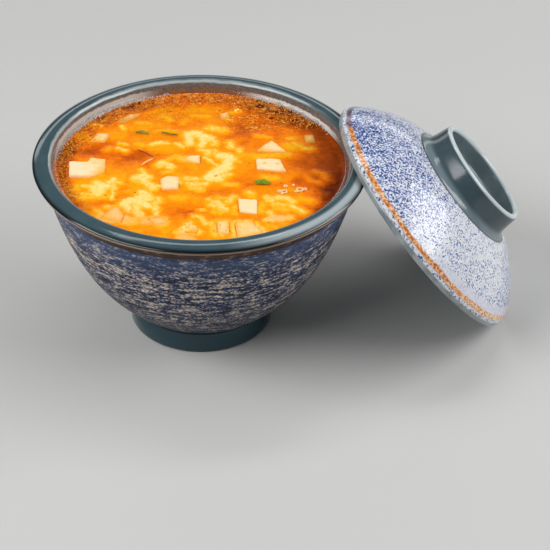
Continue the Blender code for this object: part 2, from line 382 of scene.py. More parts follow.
def turned(
    name: str, profile: Sequence[Point], steps: int, placed: Matrix | None = None
) -> bpy.types.Object:
    """Spin a closed section into a solid, and store how far along the section each point is.

    Args:
        name: the new piece's name.
        profile: radius and height of each point, in millimetres, from the axis to the axis.
        steps: how many steps a full turn has.
        placed: where it goes; on the bowl's axis if not given.

    Returns:
        The solid in its place, with a point attribute "along" in millimetres.
    """
    section = [Vector((radius * MM, 0.0, height * MM)) for radius, height in profile]
    deselect_all()
    bpy.ops.mesh.primitive_plane_add(size=MM)
    piece = just_added(name)
    with editing(piece):
        bpy.ops.mesh.merge(type="CENTER")
        bpy.ops.transform.translate(value=section[0])
        for start, end in zip(section, section[1:]):
            bpy.ops.mesh.extrude_region_move(TRANSFORM_OT_translate={"value": end - start})
        bpy.ops.mesh.select_all(action="SELECT")
        bpy.ops.mesh.spin(steps=steps, angle=math.tau, center=(0, 0, 0), axis=(0, 0, 1))
        close_seams()
    bpy.ops.object.shade_smooth()
    line = np.array(profile) * MM
    steps_along = np.hypot(*np.diff(line, axis=0).T)
    travelled = np.concatenate([[0.0], np.cumsum(steps_along)]) / MM
    places = points_of(piece)
    section_places = np.stack([np.hypot(places[:, 0], places[:, 1]), places[:, 2]], axis=1)
    gaps = np.linalg.norm(section_places[:, None, :] - line[None, :, :], axis=2)
    store(piece, "along", travelled[gaps.argmin(axis=1)])
    piece.data.transform(placed or Matrix.Translation((BOWL_X, 0, 0)))
    return piece


def length_to(profile: Sequence[Point], test: Callable[[float, float], bool]) -> float:
    """How far along a section its first point is that passes a test.

    Args:
        profile: radius and height of each point, in millimetres.
        test: tells by its radius and height whether a point is the one that is meant.

    Returns:
        The length in millimetres.
    """
    travelled = 0.0
    for before, here in zip([profile[0], *profile], profile):
        travelled += math.dist(before, here)
        if test(*here):
            return travelled
    raise ValueError("no point of the section passes the test")


def store(piece: bpy.types.Object, name: str, values: np.ndarray) -> None:
    """Store one number for each point of a piece.

    Args:
        piece: the piece.
        name: the attribute's name.
        values: one value for each point.
    """
    attribute = piece.data.attributes.new(name, "FLOAT", "POINT")
    attribute.data.foreach_set("value", np.asarray(values, dtype=np.float32))


def hand_in(
    piece: bpy.types.Object, slot: Slot, material: bpy.types.Material, *nodes: str
) -> None:
    """Dress a finished piece, say what it stands for, and let it ride on the body.

    Args:
        piece: the finished piece.
        slot: the material slot that it takes its finish from; not used.
        material: its finish.
        nodes: the CAD nodes that it replaces.
    """
    piece.data.materials.clear()
    piece.data.materials.append(material)
    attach(piece, BODY)
    if nodes:
        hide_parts(*nodes)
    LOG.info("%s: %d faces, for %s", piece.name, len(piece.data.polygons), nodes or "no node")


# ---------------------------------------------------------------- smooth noise for the broth

PRIMES = (374761393, 668265263, 1442695041, 1274126177)  # they scramble a whole-number place
TURN_PARTS = 65536  # directions that a gradient can have


@dataclass(frozen=True)
class Drift:
    """Seeded smooth noise over a plane, from about minus one to one."""

    feature: float  # size of a swell, in millimetres
    seed: int
    octaves: int = 3
    gain: float = 0.5  # strength of each octave against the one before
    finer: float = 2.1  # how much finer each octave is

    def at(self, x: np.ndarray, y: np.ndarray) -> np.ndarray:
        """The noise at each place.

        Args:
            x: places along X, in millimetres.
            y: places along Y, in millimetres.

        Returns:
            The noise, in the shape of x.
        """
        total, strength, scale = np.zeros_like(x), 1.0, 1 / self.feature
        for octave in range(self.octaves):
            total += strength * self._one(x * scale, y * scale, self.seed * 31 + octave)
            strength *= self.gain
            scale *= self.finer
        return total

    @staticmethod
    def _one(x: np.ndarray, y: np.ndarray, seed: int) -> np.ndarray:
        """One octave: gradients at whole-number places, blended between them.

        Args:
            x: places along X, in swells.
            y: places along Y, in swells.
            seed: which set of gradients.

        Returns:
            The octave's noise.
        """
        column, row = np.floor(x).astype(np.int64), np.floor(y).astype(np.int64)
        u, v = x - column, y - row
        ease_u, ease_v = (k * k * k * (k * (k * 6 - 15) + 10) for k in (u, v))
        corners = []
        for right, far in ((0, 0), (1, 0), (0, 1), (1, 1)):
            mixed = (column + right) * PRIMES[0] + (row + far) * PRIMES[1] + seed * PRIMES[2]
            mixed = (mixed ^ (mixed >> 13)) * PRIMES[3] & 0xFFFFFFFF
            angle = (mixed ^ (mixed >> 16)) % TURN_PARTS * (math.tau / TURN_PARTS)
            corners.append(np.cos(angle) * (u - right) + np.sin(angle) * (v - far))
        near = corners[0] + (corners[1] - corners[0]) * ease_u
        far_side = corners[2] + (corners[3] - corners[2]) * ease_u
        return 1.5 * (near + (far_side - near) * ease_v)


def eased(value: np.ndarray, low: float, high: float) -> np.ndarray:
    """A smooth step from zero at low to one at high.

    Args:
        value: the values to ease.
        low: where the step starts.
        high: where it ends.

    Returns:
        The eased values.
    """
    t = np.clip((value - low) / (high - low), 0.0, 1.0)
    return t * t * (3 - 2 * t)


def bell(value: np.ndarray, half: float) -> np.ndarray:
    """A bell curve, one in its middle and a third at half its width."""
    return np.exp(-((value / half) ** 2))


def stroke_distance(x: np.ndarray, y: np.ndarray, line: Sequence[Point]) -> np.ndarray:
    """Distance from each place to a line of short straight stretches.

    Args:
        x: places along X.
        y: places along Y.
        line: the line's points, in the same unit.

    Returns:
        The distances.
    """
    nearest = np.full_like(x, 1e9)
    for (x0, y0), (x1, y1) in zip(line, line[1:]):
        run, rise = x1 - x0, y1 - y0
        t = np.clip(((x - x0) * run + (y - y0) * rise) / (run * run + rise * rise), 0, 1)
        nearest = np.minimum(nearest, np.hypot(x - x0 - t * run, y - y0 - t * rise))
    return nearest


# ---------------------------------------------------------------- glazes


@dataclass(frozen=True)
class RimGlaze:
    """Reduction-fired stoneware glazes of the rim, the inside and the foot: teal and iron brown.

    A fired glaze is glass, so it has an IOR of 1.5 and sharp highlights. Where it ran thinly over
    an edge the iron under it shows, and its borders wander by a few tenths of a millimetre. The
    pale band on the inner lip and the outer crest is partly glaze broken pale over the edge and
    partly a painted highlight; the pale iron of the bead is partly a painted highlight too. The
    groove and the foot are painted darker than the teal, as painted shade.
    """

    teal: str = "4A5F66"
    teal_deep: str = "364A51"
    # glaze broken pale over an edge, partly a painted highlight
    pale_break_and_highlight: str = "B3BEC1"
    wall: str = "5C5650"
    wall_light: str = "77706A"
    wall_grain: str = "8E8780"
    splash: str = "9C5A22"
    iron: str = "271106"
    iron_light: str = "4C2812"
    # pale iron; on the bead it is brightened as a painted highlight
    pale_iron_and_bead_highlight: str = "9A8472"
    # near black: painted shade in the groove under the crest
    groove: str = "0E1417"
    # the rim's teal painted darker on the foot: painted shade
    foot: str = "1C3E48"
    bare_clay: str = "2E2620"
    fleck: float = 0.9  # mm, size of the specks in the inner wall's glaze
    wander: float = 1.2  # mm, how far a border wanders
    roughness: float = 0.11
    band_roughness: float = 0.5

    def material(self, marks: dict[str, float]) -> bpy.types.Material:
        """Build the glaze.

        Args:
            marks: how far along the section each glaze starts, in millimetres.

        Returns:
            The material.
        """
        tree = MaterialTree("fired teal and iron stoneware glaze")
        centred, sides, outward = tree.round_the_bowl()
        along = tree.add("Attribute", attribute_name="along")["Fac"]
        wander = tree.add("TexNoise", {"Vector": centred, "Scale": 1 / (6 * MM), "Detail": 3.0})[0]
        wandered = tree.add("Math", (wander, self.wander, along), operation="MULTIPLY_ADD")[0]
        specks = tree.add(
            "TexNoise",
            {"Vector": centred, "Scale": 1 / (self.fleck * MM), "Detail": 2.0, "Roughness": 0.7},
        )[0]
        soft = tree.add("TexNoise", {"Vector": centred, "Scale": 1 / (9 * MM), "Detail": 4.0})[0]
        teal = tree.add("MixRGB", (soft, self.teal, self.teal_deep))[0]
        pits = tree.add("MapRange", (specks, 0.70, 0.76, 0.0, 0.6))[0]
        teal = tree.add("MixRGB", (pits, teal, self.bare_clay))[0]
        wall = tree.add(
            "ValToRGB",
            {"Fac": specks},
            stops=[(0.35, self.wall), (0.6, self.wall_light), (0.72, self.wall_grain)],
        )[0]
        low = tree.add(
            "MapRange", (sides["Z"], BROTH_LEVEL + 4.5 * MM, BROTH_LEVEL + 0.5 * MM, 0.0, 0.30)
        )[0]
        far = tree.add("MapRange", (sides["Y"], 30 * MM, 55 * MM))[0]
        wet = tree.add("Math", (low, far, specks), operation="MULTIPLY_ADD")[0]
        splashed = tree.add("MapRange", (wet, 0.66, 0.78, 0.0, 0.85))[0]
        wall = tree.add("MixRGB", (splashed, wall, self.splash))[0]
        iron = tree.add("MixRGB", (soft, self.iron, self.iron_light))[0]
        # The pale band is laid strongest where a lamp mirrors in the edge: a painted highlight on
        # the inner lip at the far left and on the outer crest at the near right.
        pale_break_and_highlight, crest = (
            tree.add(
                "MixRGB", (self.towards(tree, outward, bearing, none, full, 0.85), teal, self.pale_break_and_highlight)
            )[0]
            for bearing, none, full in ((118.0, 105.0, 50.0), (-32.0, 58.0, 22.0))
        )
        colour = tree.banded(
            self.froth_line_and_highlight(tree, outward, sides["Z"], wall),
            marks,
            (
                ("lip", 0.35, wandered, pale_break_and_highlight),
                ("wall", 0.5, wandered, teal),
                ("crest", 0.9, along, crest),
                # the groove, painted near black as shade
                ("groove", 1.2, along, self.groove),
                # the bead: pale iron brightened as a painted highlight
                ("bead", 0.35, along, self.pale_iron_and_bead_highlight),
                ("edge", 0.5, wandered, iron),
                # the foot, in the teal darkened as painted shade
                ("body", 0.3, along, self.foot),
                ("base", 0.2, along, self.bare_clay),
                ("recess", 0.3, along, teal),
            ),
            self.wander / 2,
        )
        skin = tree.add("TexNoise", {"Vector": centred, "Scale": 1 / (5 * MM), "Detail": 2.0})[0]
        bump = tree.add("Bump", {"Height": skin, "Strength": 0.3, "Distance": 0.10 * MM})[0]
        shader = tree.add(
            "BsdfPrincipled",
            {"Base Color": colour, "Roughness": self.roughness, "IOR": GLASS_IOR, "Normal": bump},
        )
        return tree.finish(shader["BSDF"])

    def band_material(self) -> bpy.types.Material:
        """Build the dry iron wash of the band under the rim, which no glaze covers.

        Returns:
            The material.
        """
        tree = MaterialTree("dry iron wash")
        place = tree.add("TexCoord")["Object"]
        cloudy = tree.add(
            "TexNoise", {"Vector": place, "Scale": 1 / (4 * MM), "Detail": 5.0, "Roughness": 0.65}
        )[0]
        colour = tree.add(
            "ValToRGB",
            {"Fac": cloudy},
            stops=[(0.36, self.iron), (0.56, self.iron_light), (0.74, self.pale_iron_and_bead_highlight)],
        )[0]
        bump = tree.add("Bump", {"Height": cloudy, "Strength": 0.4, "Distance": 0.15 * MM})[0]
        shader = tree.add(
            "BsdfPrincipled",
            {
                "Base Color": colour,
                "Roughness": self.band_roughness,
                "Specular IOR Level": 0.2,
                "Normal": bump,
            },
        )
        return tree.finish(shader["BSDF"])

    @staticmethod
    def towards(
        tree: MaterialTree, outward: Any, bearing: float, none: float, full: float, most: float
    ) -> Any:
        """A share that is highest on one side of the bowl.

        Args:
            tree: the material.
            outward: level unit vector away from the bowl's axis.
            bearing: where the share is highest, in degrees from +X towards +Y.
            none: degrees from there at which it has ended.
            full: degrees from there up to which it stays highest.
            most: the highest share.

        Returns:
            The share's socket.
        """
        aim = (math.cos(math.radians(bearing)), math.sin(math.radians(bearing)), 0.0)
        part = tree.add("VectorMath", (outward, aim), operation="DOT_PRODUCT")
        return tree.add(
            "MapRange",
            (part["Value"], math.cos(math.radians(none)), math.cos(math.radians(full)), 0.0, most),
            interpolation_type="SMOOTHSTEP",
        )[0]

    def froth_line_and_highlight(self, tree: MaterialTree, outward: Any, height: Any, wall: Any) -> Any:
        """Draw the line of fine froth that the broth leaves on the wall just over its surface,
        partly a painted highlight of the wet wall.

        Args:
            tree: the material.
            outward: level unit vector away from the bowl's axis.
            height: the height in metres.
            wall: colour of the bare wall.

        Returns:
            The colour.
        """
        ragged = tree.add("TexNoise", {"Vector": outward, "Scale": 30.0, "Detail": 3.0})[0]
        uneven = tree.add("Math", (ragged, -1.6 * MM, height), operation="MULTIPLY_ADD")[0]
        # Each lobe lays a pale tone on one side: froth, partly painted highlight, on the far left
        # and the left, and on the far right a painted highlight of the wet wall.
        for bearing, none, full, most, top, tone in (
            (172.0, 52.0, 26.0, 0.75, 1.5, "B4A8A8"),
            (40.0, 30.0, 14.0, 0.95, 2.0, "E6E2DE"),
            (136.0, 36.0, 20.0, 0.80, 3.0, "D8D2CC"),
        ):
            low = tree.add(
                "MapRange",
                (uneven, BROTH_LEVEL + (top - 0.4) * MM, BROTH_LEVEL + (top - 0.9) * MM),
            )[0]
            here = self.towards(tree, outward, bearing, none, full, most)
            share = tree.add("Math", (low, here), operation="MULTIPLY")[0]
            wall = tree.add("MixRGB", (share, wall, tone))[0]
        return wall


@dataclass(frozen=True)
class MottledGlaze:
    """A dry, crystalline matt glaze, cobalt that broke to tan in level streaks as it ran.

    Its crystals scatter the light, so it hardly mirrors. The streaks are a few millimetres wide
    and a quarter as tall. It is painted darker towards the foot as painted shade, and the grain
    between the streaks is drawn about as coarse as a pixel shows.
    """

    ink: str = "12141C"
    navy: str = "1F3050"
    cobalt: str = "38568A"
    smoke: str = "556080"
    wash: str = "586C92"  # even cobalt under the band, where the tan ran off
    clay: str = "857A74"
    tan: str = "B4A291"
    pale: str = "E4DBD0"
    streak: float = 6.6  # mm, length of a streak
    flatness: float = 3.8  # how much longer a streak is than it is tall
    clot: float = 1.9  # mm, size of a clot between the cracks
    grain: float = 0.8  # mm
    grain_flatness: float = 1.9
    patch: float = 26.0  # mm, size of a patch that is paler or darker as a whole
    middle_radius: float = 55.0  # mm, where the pattern has its own size
    roughness: float = 0.55

    def material(self) -> bpy.types.Material:
        """Build the glaze.

        Returns:
            The material, which reads the attribute "along" of the piece.
        """
        tree = MaterialTree("matt cobalt and tan crystalline glaze")
        outward = tree.round_the_bowl()[2]
        along = tree.add("Attribute", attribute_name="along")["Fac"]
        unrolled = tree.add("SeparateXYZ", {0: outward})
        spots = []
        for squeeze in (self.flatness, self.grain_flatness):
            down = tree.add("Math", (along, squeeze / self.middle_radius), operation="MULTIPLY")[0]
            sides = {"X": unrolled["X"], "Y": unrolled["Y"], "Z": down}
            spots.append(tree.add("CombineXYZ", sides)[0])
        broken: Any = 0.0
        for spot, size, detail, part in (
            (spots[0], self.streak, 1.5, 0.95),
            (spots[1], self.grain, 1.5, 0.75),
            (spots[0], self.patch, 1.0, 0.18),
        ):
            noise = tree.add(
                "TexNoise", {"Vector": spot, "Scale": self.middle_radius / size, "Detail": detail}
            )[0]
            broken = tree.add("Math", (noise, part, broken), operation="MULTIPLY_ADD")[0]
        clots = {"Vector": spots[1], "Scale": self.middle_radius / self.clot}
        tone = tree.add("TexVoronoi", clots)["Color"]
        cracks = tree.add("TexVoronoi", clots, feature="DISTANCE_TO_EDGE")["Distance"]
        for value, part in ((tone, 0.40), (cracks, 0.80)):
            broken = tree.add("Math", (value, part, broken), operation="MULTIPLY_ADD")[0]
        thick = tree.add("MapRange", (along, 4.0, 16.0, -0.06, 0.0))[0]
        broken = tree.add("Math", (broken, thick), operation="ADD")[0]
        share = tree.add("MapRange", (broken, 0.955, 1.62))[0]
        colour = tree.add(
            "ValToRGB",
            {"Fac": share},
            stops=[
                (0.12, self.ink), (0.33, self.navy), (0.43, self.cobalt), (0.49, self.smoke),
                (0.56, self.clay), (0.68, self.tan), (0.92, self.pale),
            ],
        )[0]
        # Even cobalt is laid under the band, and ink over the lower body: painted shade, darker
        # towards the foot.
        for start, end, before, after, laid in (
            (3.0, 17.0, 0.45, 0.0, self.wash), (34.0, 78.0, 0.0, 0.42, self.ink)
        ):
            part = tree.add("MapRange", (along, start, end, before, after))[0]
            colour = tree.add("MixRGB", (part, colour, laid))[0]
        bump = tree.add("Bump", {"Height": broken, "Strength": 0.7, "Distance": 0.3 * MM})[0]
        shader = tree.add(
            "BsdfPrincipled",
            {
                "Base Color": colour,
                "Roughness": self.roughness,
                "Specular IOR Level": 0.25,
                "Normal": bump,
            },
        )
        return tree.finish(shader["BSDF"])


@dataclass(frozen=True)
class LidGlaze:
    """The lid's glazes: white slip under sponged cobalt, an orange iron line, and teal celadon.

    The celadon runs thinly on the ring's lip, where it breaks to pale grey; that pale grey is
    partly a painted highlight. Inside the ring the celadon is painted in soft light patches, and
    the smooth lilac band by the orange line grows paler towards the middle; both are partly
    painted reflections.
    """

    slip: str = "E8EAF0"
    slip_warm: str = "EFD6BE"
    haze: str = "C2CADF"
    cobalt: str = "788DC0"
    ink: str = "2A4686"
    # smooth glaze band by the orange line, partly a painted reflection
    lilac: str = "DCDBE7"
    orange: str = "D98434"
    rust: str = "955530"
    pale: str = "EAD2B4"
    brown: str = "5E4444"
    bruise: str = "9A8080"
    edge: str = "9BA3A6"
    edge_dark: str = "7C8589"
    fringe: str = "DCDFE4"
    fringe_haze: str = "9AA4BC"
    dash: str = "2E4682"
    teal: str = "4A5C63"
    teal_deep: str = "36444B"
    # pale grey of the lip, partly a painted highlight
    lip: str = "C6D0D4"
    # soft light patches inside the ring, partly a painted reflection
    cup: str = "8C9CA1"
    flare: str = "6E7E84"
    skirt_line: str = "4E4A48"
    under: str = "6F7F84"
    dot: float = 0.80  # mm, size of a cobalt speckle
    wander: float = 2.4  # mm, how far a border wanders
    roughness: float = 0.17

    def material(self, marks: dict[str, float], turn: float, middle: Vector) -> bpy.types.Material:
        """Build the glaze.

        Args:
            marks: how far along the section each glaze starts, in millimetres.
            turn: the lid's tilt about Y.
            middle: the middle of its edge plane.

        Returns:
            The material.
        """
        tree = MaterialTree("fired stoneware glazes of the lid")
        place = tree.add("TexCoord")["Object"]
        back = Matrix.Rotation(-turn, 3, "Y") @ -middle
        own = tree.add(
            "Mapping", {"Vector": place, "Location": back, "Rotation": (0, -turn, 0)}
        )[0]
        along = tree.add("Attribute", attribute_name="along")["Fac"]
        sides = tree.add("SeparateXYZ", {0: own})
        wander = tree.add("TexNoise", {"Vector": own, "Scale": 1 / (7 * MM), "Detail": 4.0})[0]
        wandered = tree.add("Math", (wander, self.wander, along), operation="MULTIPLY_ADD")[0]
        warm = tree.add(
            "TexNoise", {"Vector": own, "Scale": 1 / (1.3 * MM), "Detail": 2.0, "Roughness": 0.7}
        )[0]
        speckled, dots = self.speckle(tree, own, sides["X"], warm)

        upper_end = tree.add("MapRange", (sides["X"], -36 * MM, -40 * MM))[0]
        across = tree.add("Math", (sides["Y"], upper_end), operation="MULTIPLY")[0]
        low_end = tree.add("MapRange", (sides["X"], -10 * MM, 45 * MM, 0.0, 0.10))[0]
        blotch = tree.add("Math", (warm, low_end), operation="ADD")[0]
        iron = tree.add(
            "ValToRGB",
            {"Fac": blotch},
            stops=[(0.38, self.rust), (0.45, self.orange), (0.53, self.orange), (0.60, self.pale)],
        )[0]
        bruised = tree.add(
            "ValToRGB",
            {"Fac": warm},
            stops=[(0.42, self.dash), (0.50, self.brown), (0.62, self.bruise)],
        )[0]
        top_end = tree.add("MapRange", (across, 0.0, 5 * MM))[0]
        iron = tree.add("MixRGB", (top_end, iron, bruised))[0]
        # More lilac towards the middle of the lid: a smooth band of glaze, partly a painted
        # reflection of a lamp.
        lilac_sheen = tree.add("MapRange", (sides["X"], -38 * MM, 0.0, 0.0, 0.72))[0]
        veil = tree.add("MixRGB", (lilac_sheen, speckled, self.lilac))[0]
        fringe = tree.add(
            "ValToRGB",
            {"Fac": warm},
            stops=[(0.50, self.fringe), (0.57, self.fringe_haze), (0.61, self.dash)],
        )[0]
        soft = tree.add("TexNoise", {"Vector": own, "Scale": 1 / (9 * MM), "Detail": 3.0})[0]
        teal = tree.add("MixRGB", (soft, self.teal, self.teal_deep))[0]
        edge = tree.add(
            "ValToRGB", {"Fac": soft}, stops=[(0.42, self.edge_dark), (0.56, self.edge)]
        )[0]

        # inside the ring: teal and pale patches, partly a painted reflection
        cup = tree.add("MixRGB", (soft, self.cup, self.teal))[0]
        colour = tree.banded(
            cup,
            marks,
            (
                # the ring's lip: pale grey, partly a painted highlight
                ("lip_in", 0.5, along, self.lip),
                ("lip_out", 0.5, along, teal),
                ("flare", 1.4, along, self.flare),
                ("skirt", 0.3, along, self.skirt_line),
                ("skirt_line", 0.25, along, speckled),
                ("speckle", 1.2, wandered, veil),
                ("veil", 0.45, wandered, iron),
                ("line", 0.45, wandered, fringe),
                ("fringe", 0.3, along, edge),
                ("rim", 0.6, along, self.under),
            ),
            self.wander / 2,
        )
        bump = tree.add("Bump", {"Height": dots, "Strength": 0.12, "Distance": 0.08 * MM})[0]
        shader = tree.add(
            "BsdfPrincipled",
            {"Base Color": colour, "Roughness": self.roughness, "IOR": GLASS_IOR, "Normal": bump},
        )
        return tree.finish(shader["BSDF"])

    def speckle(self, tree: MaterialTree, own: Any, length: Any, warm: Any) -> tuple[Any, Any]:
        """Sponge cobalt over the slip, dense at the lid's upper end and thin at its lower end.

        Args:
            tree: the lid's material.
            own: places on the lid, in its own frame.
            length: the place from the upper end to the lower end, in metres.
            warm: a fine noise that also tints the slip.

        Returns:
            The colour, and the noise that its dots come from.
        """
        dots = tree.add(
            "TexNoise",
            {"Vector": own, "Scale": 1 / (self.dot * MM), "Detail": 1.5, "Roughness": 0.6},
        )[0]
        clumps = tree.add("TexNoise", {"Vector": own, "Scale": 1 / (3.0 * MM), "Detail": 2.0})[0]
        patches = tree.add("TexNoise", {"Vector": own, "Scale": 1 / (22 * MM), "Detail": 1.0})[0]
        thick = dots
        for noise, part in ((clumps, 0.30), (patches, 0.12)):
            thick = tree.add("Math", (noise, part, thick), operation="MULTIPLY_ADD")[0]
        for start, end, before, after in ((-56, 0, 0.10, -0.035), (24, 54, 0.0, 0.13)):
            shift = tree.add("MapRange", (length, start * MM, end * MM, before, after))[0]
            thick = tree.add("Math", (thick, shift), operation="ADD")[0]
        share = tree.add("MapRange", (thick, 0.595, 0.94))[0]
        speckled = tree.add(
            "ValToRGB",
            {"Fac": share},
            stops=[(0.24, self.slip), (0.47, self.haze), (0.62, self.cobalt), (0.85, self.ink)],
        )[0]
        warm_spots = tree.add("MapRange", (warm, 0.56, 0.66, 0.0, 0.6))[0]
        tinted = tree.add(
            "MixRGB", (warm_spots, speckled, self.slip_warm), blend_type="MULTIPLY"
        )[0]
        return tinted, dots


# ---------------------------------------------------------------- bowl and lid


RIM = (  # radius, and depth under the rim's top, in mm: over the rim, the groove and the bead
    (67.5, BROTH_DROP), (68.2, 3.6), (69.0, 1.5), (70.0, 0.4), (71.2, 0.0), (72.6, 0.08),
    (74.0, 0.4), (75.3, 0.92), (76.5, 1.5), (77.4, 2.15), (77.45, 2.6), (76.85, 2.9),
    (76.6, 3.1), (76.95, 3.4), (76.95, 3.9), (76.2, 4.5), (74.9, 6.0), (73.4, 7.9), (72.3, 9.6),
)
FOOT = (  # radius and height in mm: down the foot, under it and up its hollow
    (32.7, 11.2), (33.0, 10.8), (33.3, 10.2), (33.4, 6.0), (33.4, 1.4), (33.0, 0.5), (32.2, 0.0),
    (27.6, 0.0), (26.8, 0.7), (26.0, 3.0), (24.9, 7.3), (23.6, 8.2),
)


@dataclass
class Bowl:
    """The footed bowl: a thrown stoneware form with a heavy rim over a groove and a bead."""

    steps: int = 224
    top: float = RIM_TOP / MM
    coat: float = 0.45  # mm, thickness of the matt glaze over the body
    band: tuple[float, float] = (4.8, 9.8)  # mm under the rim's top, where the iron is bare
    glaze: RimGlaze = field(default_factory=RimGlaze)
    mottle: MottledGlaze = field(default_factory=MottledGlaze)

    def body_line(self, inward: float) -> list[Point]:
        """The body's outside from the band down to the foot.

        Args:
            inward: how far inside the glazed surface, in millimetres.

        Returns:
            Radius and height of each point, in millimetres.
        """
        radius, drop = RIM[-1]
        line = bezier(((radius, self.top - drop), (62.2, 43.0), (53.4, 27.5), (33.6, 11.5)), 40)
        moved = []
        for before, here, after in zip([line[0], *line], line, [*line[1:], line[-1]]):
            run, rise = after[0] - before[0], after[1] - before[1]
            length = math.hypot(run, rise)
            moved.append((here[0] + inward * rise / length, here[1] - inward * run / length))
        return moved

    def section(self) -> list[Point]:
        """The bowl's section, from the middle of its floor round to the middle of its base.

        Returns:
            Radius and height of each point, in millimetres.
        """
        inside = bezier(((24.0, 16.5), (46.5, 22.5), (57.5, 44.0), (67.5, 82.2)), 22)
        rim = smooth_through([(radius, self.top - drop) for radius, drop in RIM], 3)
        body = self.body_line(self.coat * 0.6)
        return [(0.0, 15.5), (12.0, 15.6), *inside[:-1], *rim, *body[2:], *FOOT, (0.0, 8.5)]

    def build(self) -> None:
        """Turn the bowl and glaze it."""
        section, top = self.section(), self.top
        tests = {
            "lip": lambda r, z: z > top - 1.8,
            "wall": lambda r, z: r > 69.9 and z > top - 1.0,
            "crest": lambda r, z: r > 73.4,
            "groove": lambda r, z: r > 76.2,
            "bead": lambda r, z: r > 76.0 and z < top - 3.0,
            "edge": lambda r, z: r > 70 and z < top - 4.4,
            "body": lambda r, z: r < 34 and 11 < z < 12.2,
            "base": lambda r, z: r > 32 and z < 1.0,
            "recess": lambda r, z: r < 27 and 0.5 < z < 1.0,
        }
        marks = {mark: length_to(section, test) for mark, test in tests.items()}
        bowl = turned("glazed_bowl", section, self.steps)
        hand_in(bowl, Slot.BOWL, self.glaze.material(marks), "bowl")
        bowl.data.materials.append(self.glaze.band_material())
        least, most = self.band
        for face in bowl.data.polygons:
            radius = math.hypot(face.center.x - BOWL_X, face.center.y) / MM
            if radius > 72.0 and least < top - face.center.z / MM < most:
                face.material_index = 1
        self.build_coat()

    def build_coat(self) -> None:
        """Turn the thin coat of matt glaze, thick enough to show an edge over the foot."""
        outside, inside = self.body_line(0.0), self.body_line(self.coat)
        lip = (outside[-1][0] - 0.15, outside[-1][1] - 0.12)
        ring = [*outside, lip, *reversed(inside), outside[0]]
        hand_in(turned("mottled_body_glaze", ring, self.steps), Slot.BOWL, self.mottle.material())


@dataclass
class Lid:
    """The domed lid with its ring handle, leaning on the bowl's rim."""

    radius: float = 62.2  # mm
    dome: float = 25.4  # mm, height of the dome under the ring
    ring: float = 26.7  # mm, outer radius of the ring's top
    height: float = 38.6  # mm
    cup: float = 9.2  # mm, depth of the ring's hollow
    tilt: float = math.radians(50.6)
    reach: float = 103.9 * MM  # of the middle of the lid's edge plane, from the bowl's axis
    rise: float = 47.369 * MM  # of the same over the table
    steps: int = 224
    glaze: LidGlaze = field(default_factory=LidGlaze)

    def section(self) -> list[Point]:
        """The lid's section, from the middle of the ring's floor to the top of the hollow.

        Returns:
            Radius and height of each point, in millimetres.
        """
        ring, dome, top, wide = self.ring, self.dome, self.height, self.radius
        floor = top - self.cup
        outwards = (
            (-6.2, floor), (-4.6, floor + 0.3), (-3.6, floor + 1.6), (-3.1, top - 2.2),
            (-2.7, top - 0.7), (-1.7, top), (-0.6, top - 0.3), (0.0, top - 1.2),
            (0.45, dome + 8.0), (0.85, dome + 4.4), (1.5, dome + 2.2), (2.6, dome + 0.8),
            (3.9, dome),
        )
        handle = smooth_through([(ring + outward, height) for outward, height in outwards], 3)
        outside = bezier(((ring + 3.9, dome), (44.5, 23.7), (wide + 3.1, 4.8), (wide, 1.3)), 40)
        inwards = ((0, 1.3), (0.35, 0.45), (1.0, 0.03), (1.8, 0.15), (2.4, 0.75), (2.6, 1.4))
        edge = smooth_through([(wide - inward, height) for inward, height in inwards], 2)
        hollow = bezier((edge[-1], (wide - 1.6, 6.0), (45.0, 19.6), (27.0, 20.9)), 26)
        return [
            (0.0, floor), (10.0, floor), *handle, *outside[1:], *edge[1:], *hollow[1:], (0.0, 21.2)
        ]

    def build(self) -> None:
        """Turn the lid, lean it on the rim and glaze it."""
        section, dome = self.section(), self.dome
        tests = {
            "lip_in": lambda r, z: z > self.height - 1.5,
            "lip_out": lambda r, z: r >= self.ring - 0.01,
            "flare": lambda r, z: r > 25 and z < dome + 3.0,
            "skirt": lambda r, z: r > 30.4 and z < dome + 0.3,
            "skirt_line": lambda r, z: r > 31.1 and z < dome + 0.3,
            "speckle": lambda r, z: r > 50 and z < 9.8,
            "veil": lambda r, z: r > 50 and z < 6.9,
            "line": lambda r, z: r > 50 and z < 5.0,
            "fringe": lambda r, z: r > 50 and z < 3.3,
            "rim": lambda r, z: self.radius - 2.5 > r > 50 and z < 1.2,
        }
        marks = {mark: length_to(section, test) for mark, test in tests.items()}
        middle = Vector((BOWL_X + self.reach, 0.0, self.rise))
        leaning = Matrix.Translation(middle) @ Matrix.Rotation(self.tilt, 4, "Y")
        lid = turned("glazed_lid", section, self.steps, leaning)
        hand_in(lid, Slot.LID, self.glaze.material(marks, self.tilt, middle), "lid")


# ---------------------------------------------------------------- broth


@dataclass(frozen=True)
class Pool:
    """A wide stretch of broth that is clearer and deeper, or cloudier and brighter."""

    x: float
    y: float
    half_x: float
    half_y: float
    lift: float  # mm of optical depth; minus is deeper

    def at(self, x: np.ndarray, y: np.ndarray) -> np.ndarray:
        """How much the pool lifts each place."""
        return self.lift * bell(x - self.x, self.half_x) * bell(y - self.y, self.half_y)


@dataclass(frozen=True)
class Strand:
    """A strand of set egg, or a veil of it further down."""

    line: tuple[Point, ...]  # mm from the bowl's axis
    width: float  # mm
    top: float = 0.3  # mm over the broth's level
    fade: float = 0.8  # mm deeper for each mm beside it
    lace: float = 0.55  # how torn it is


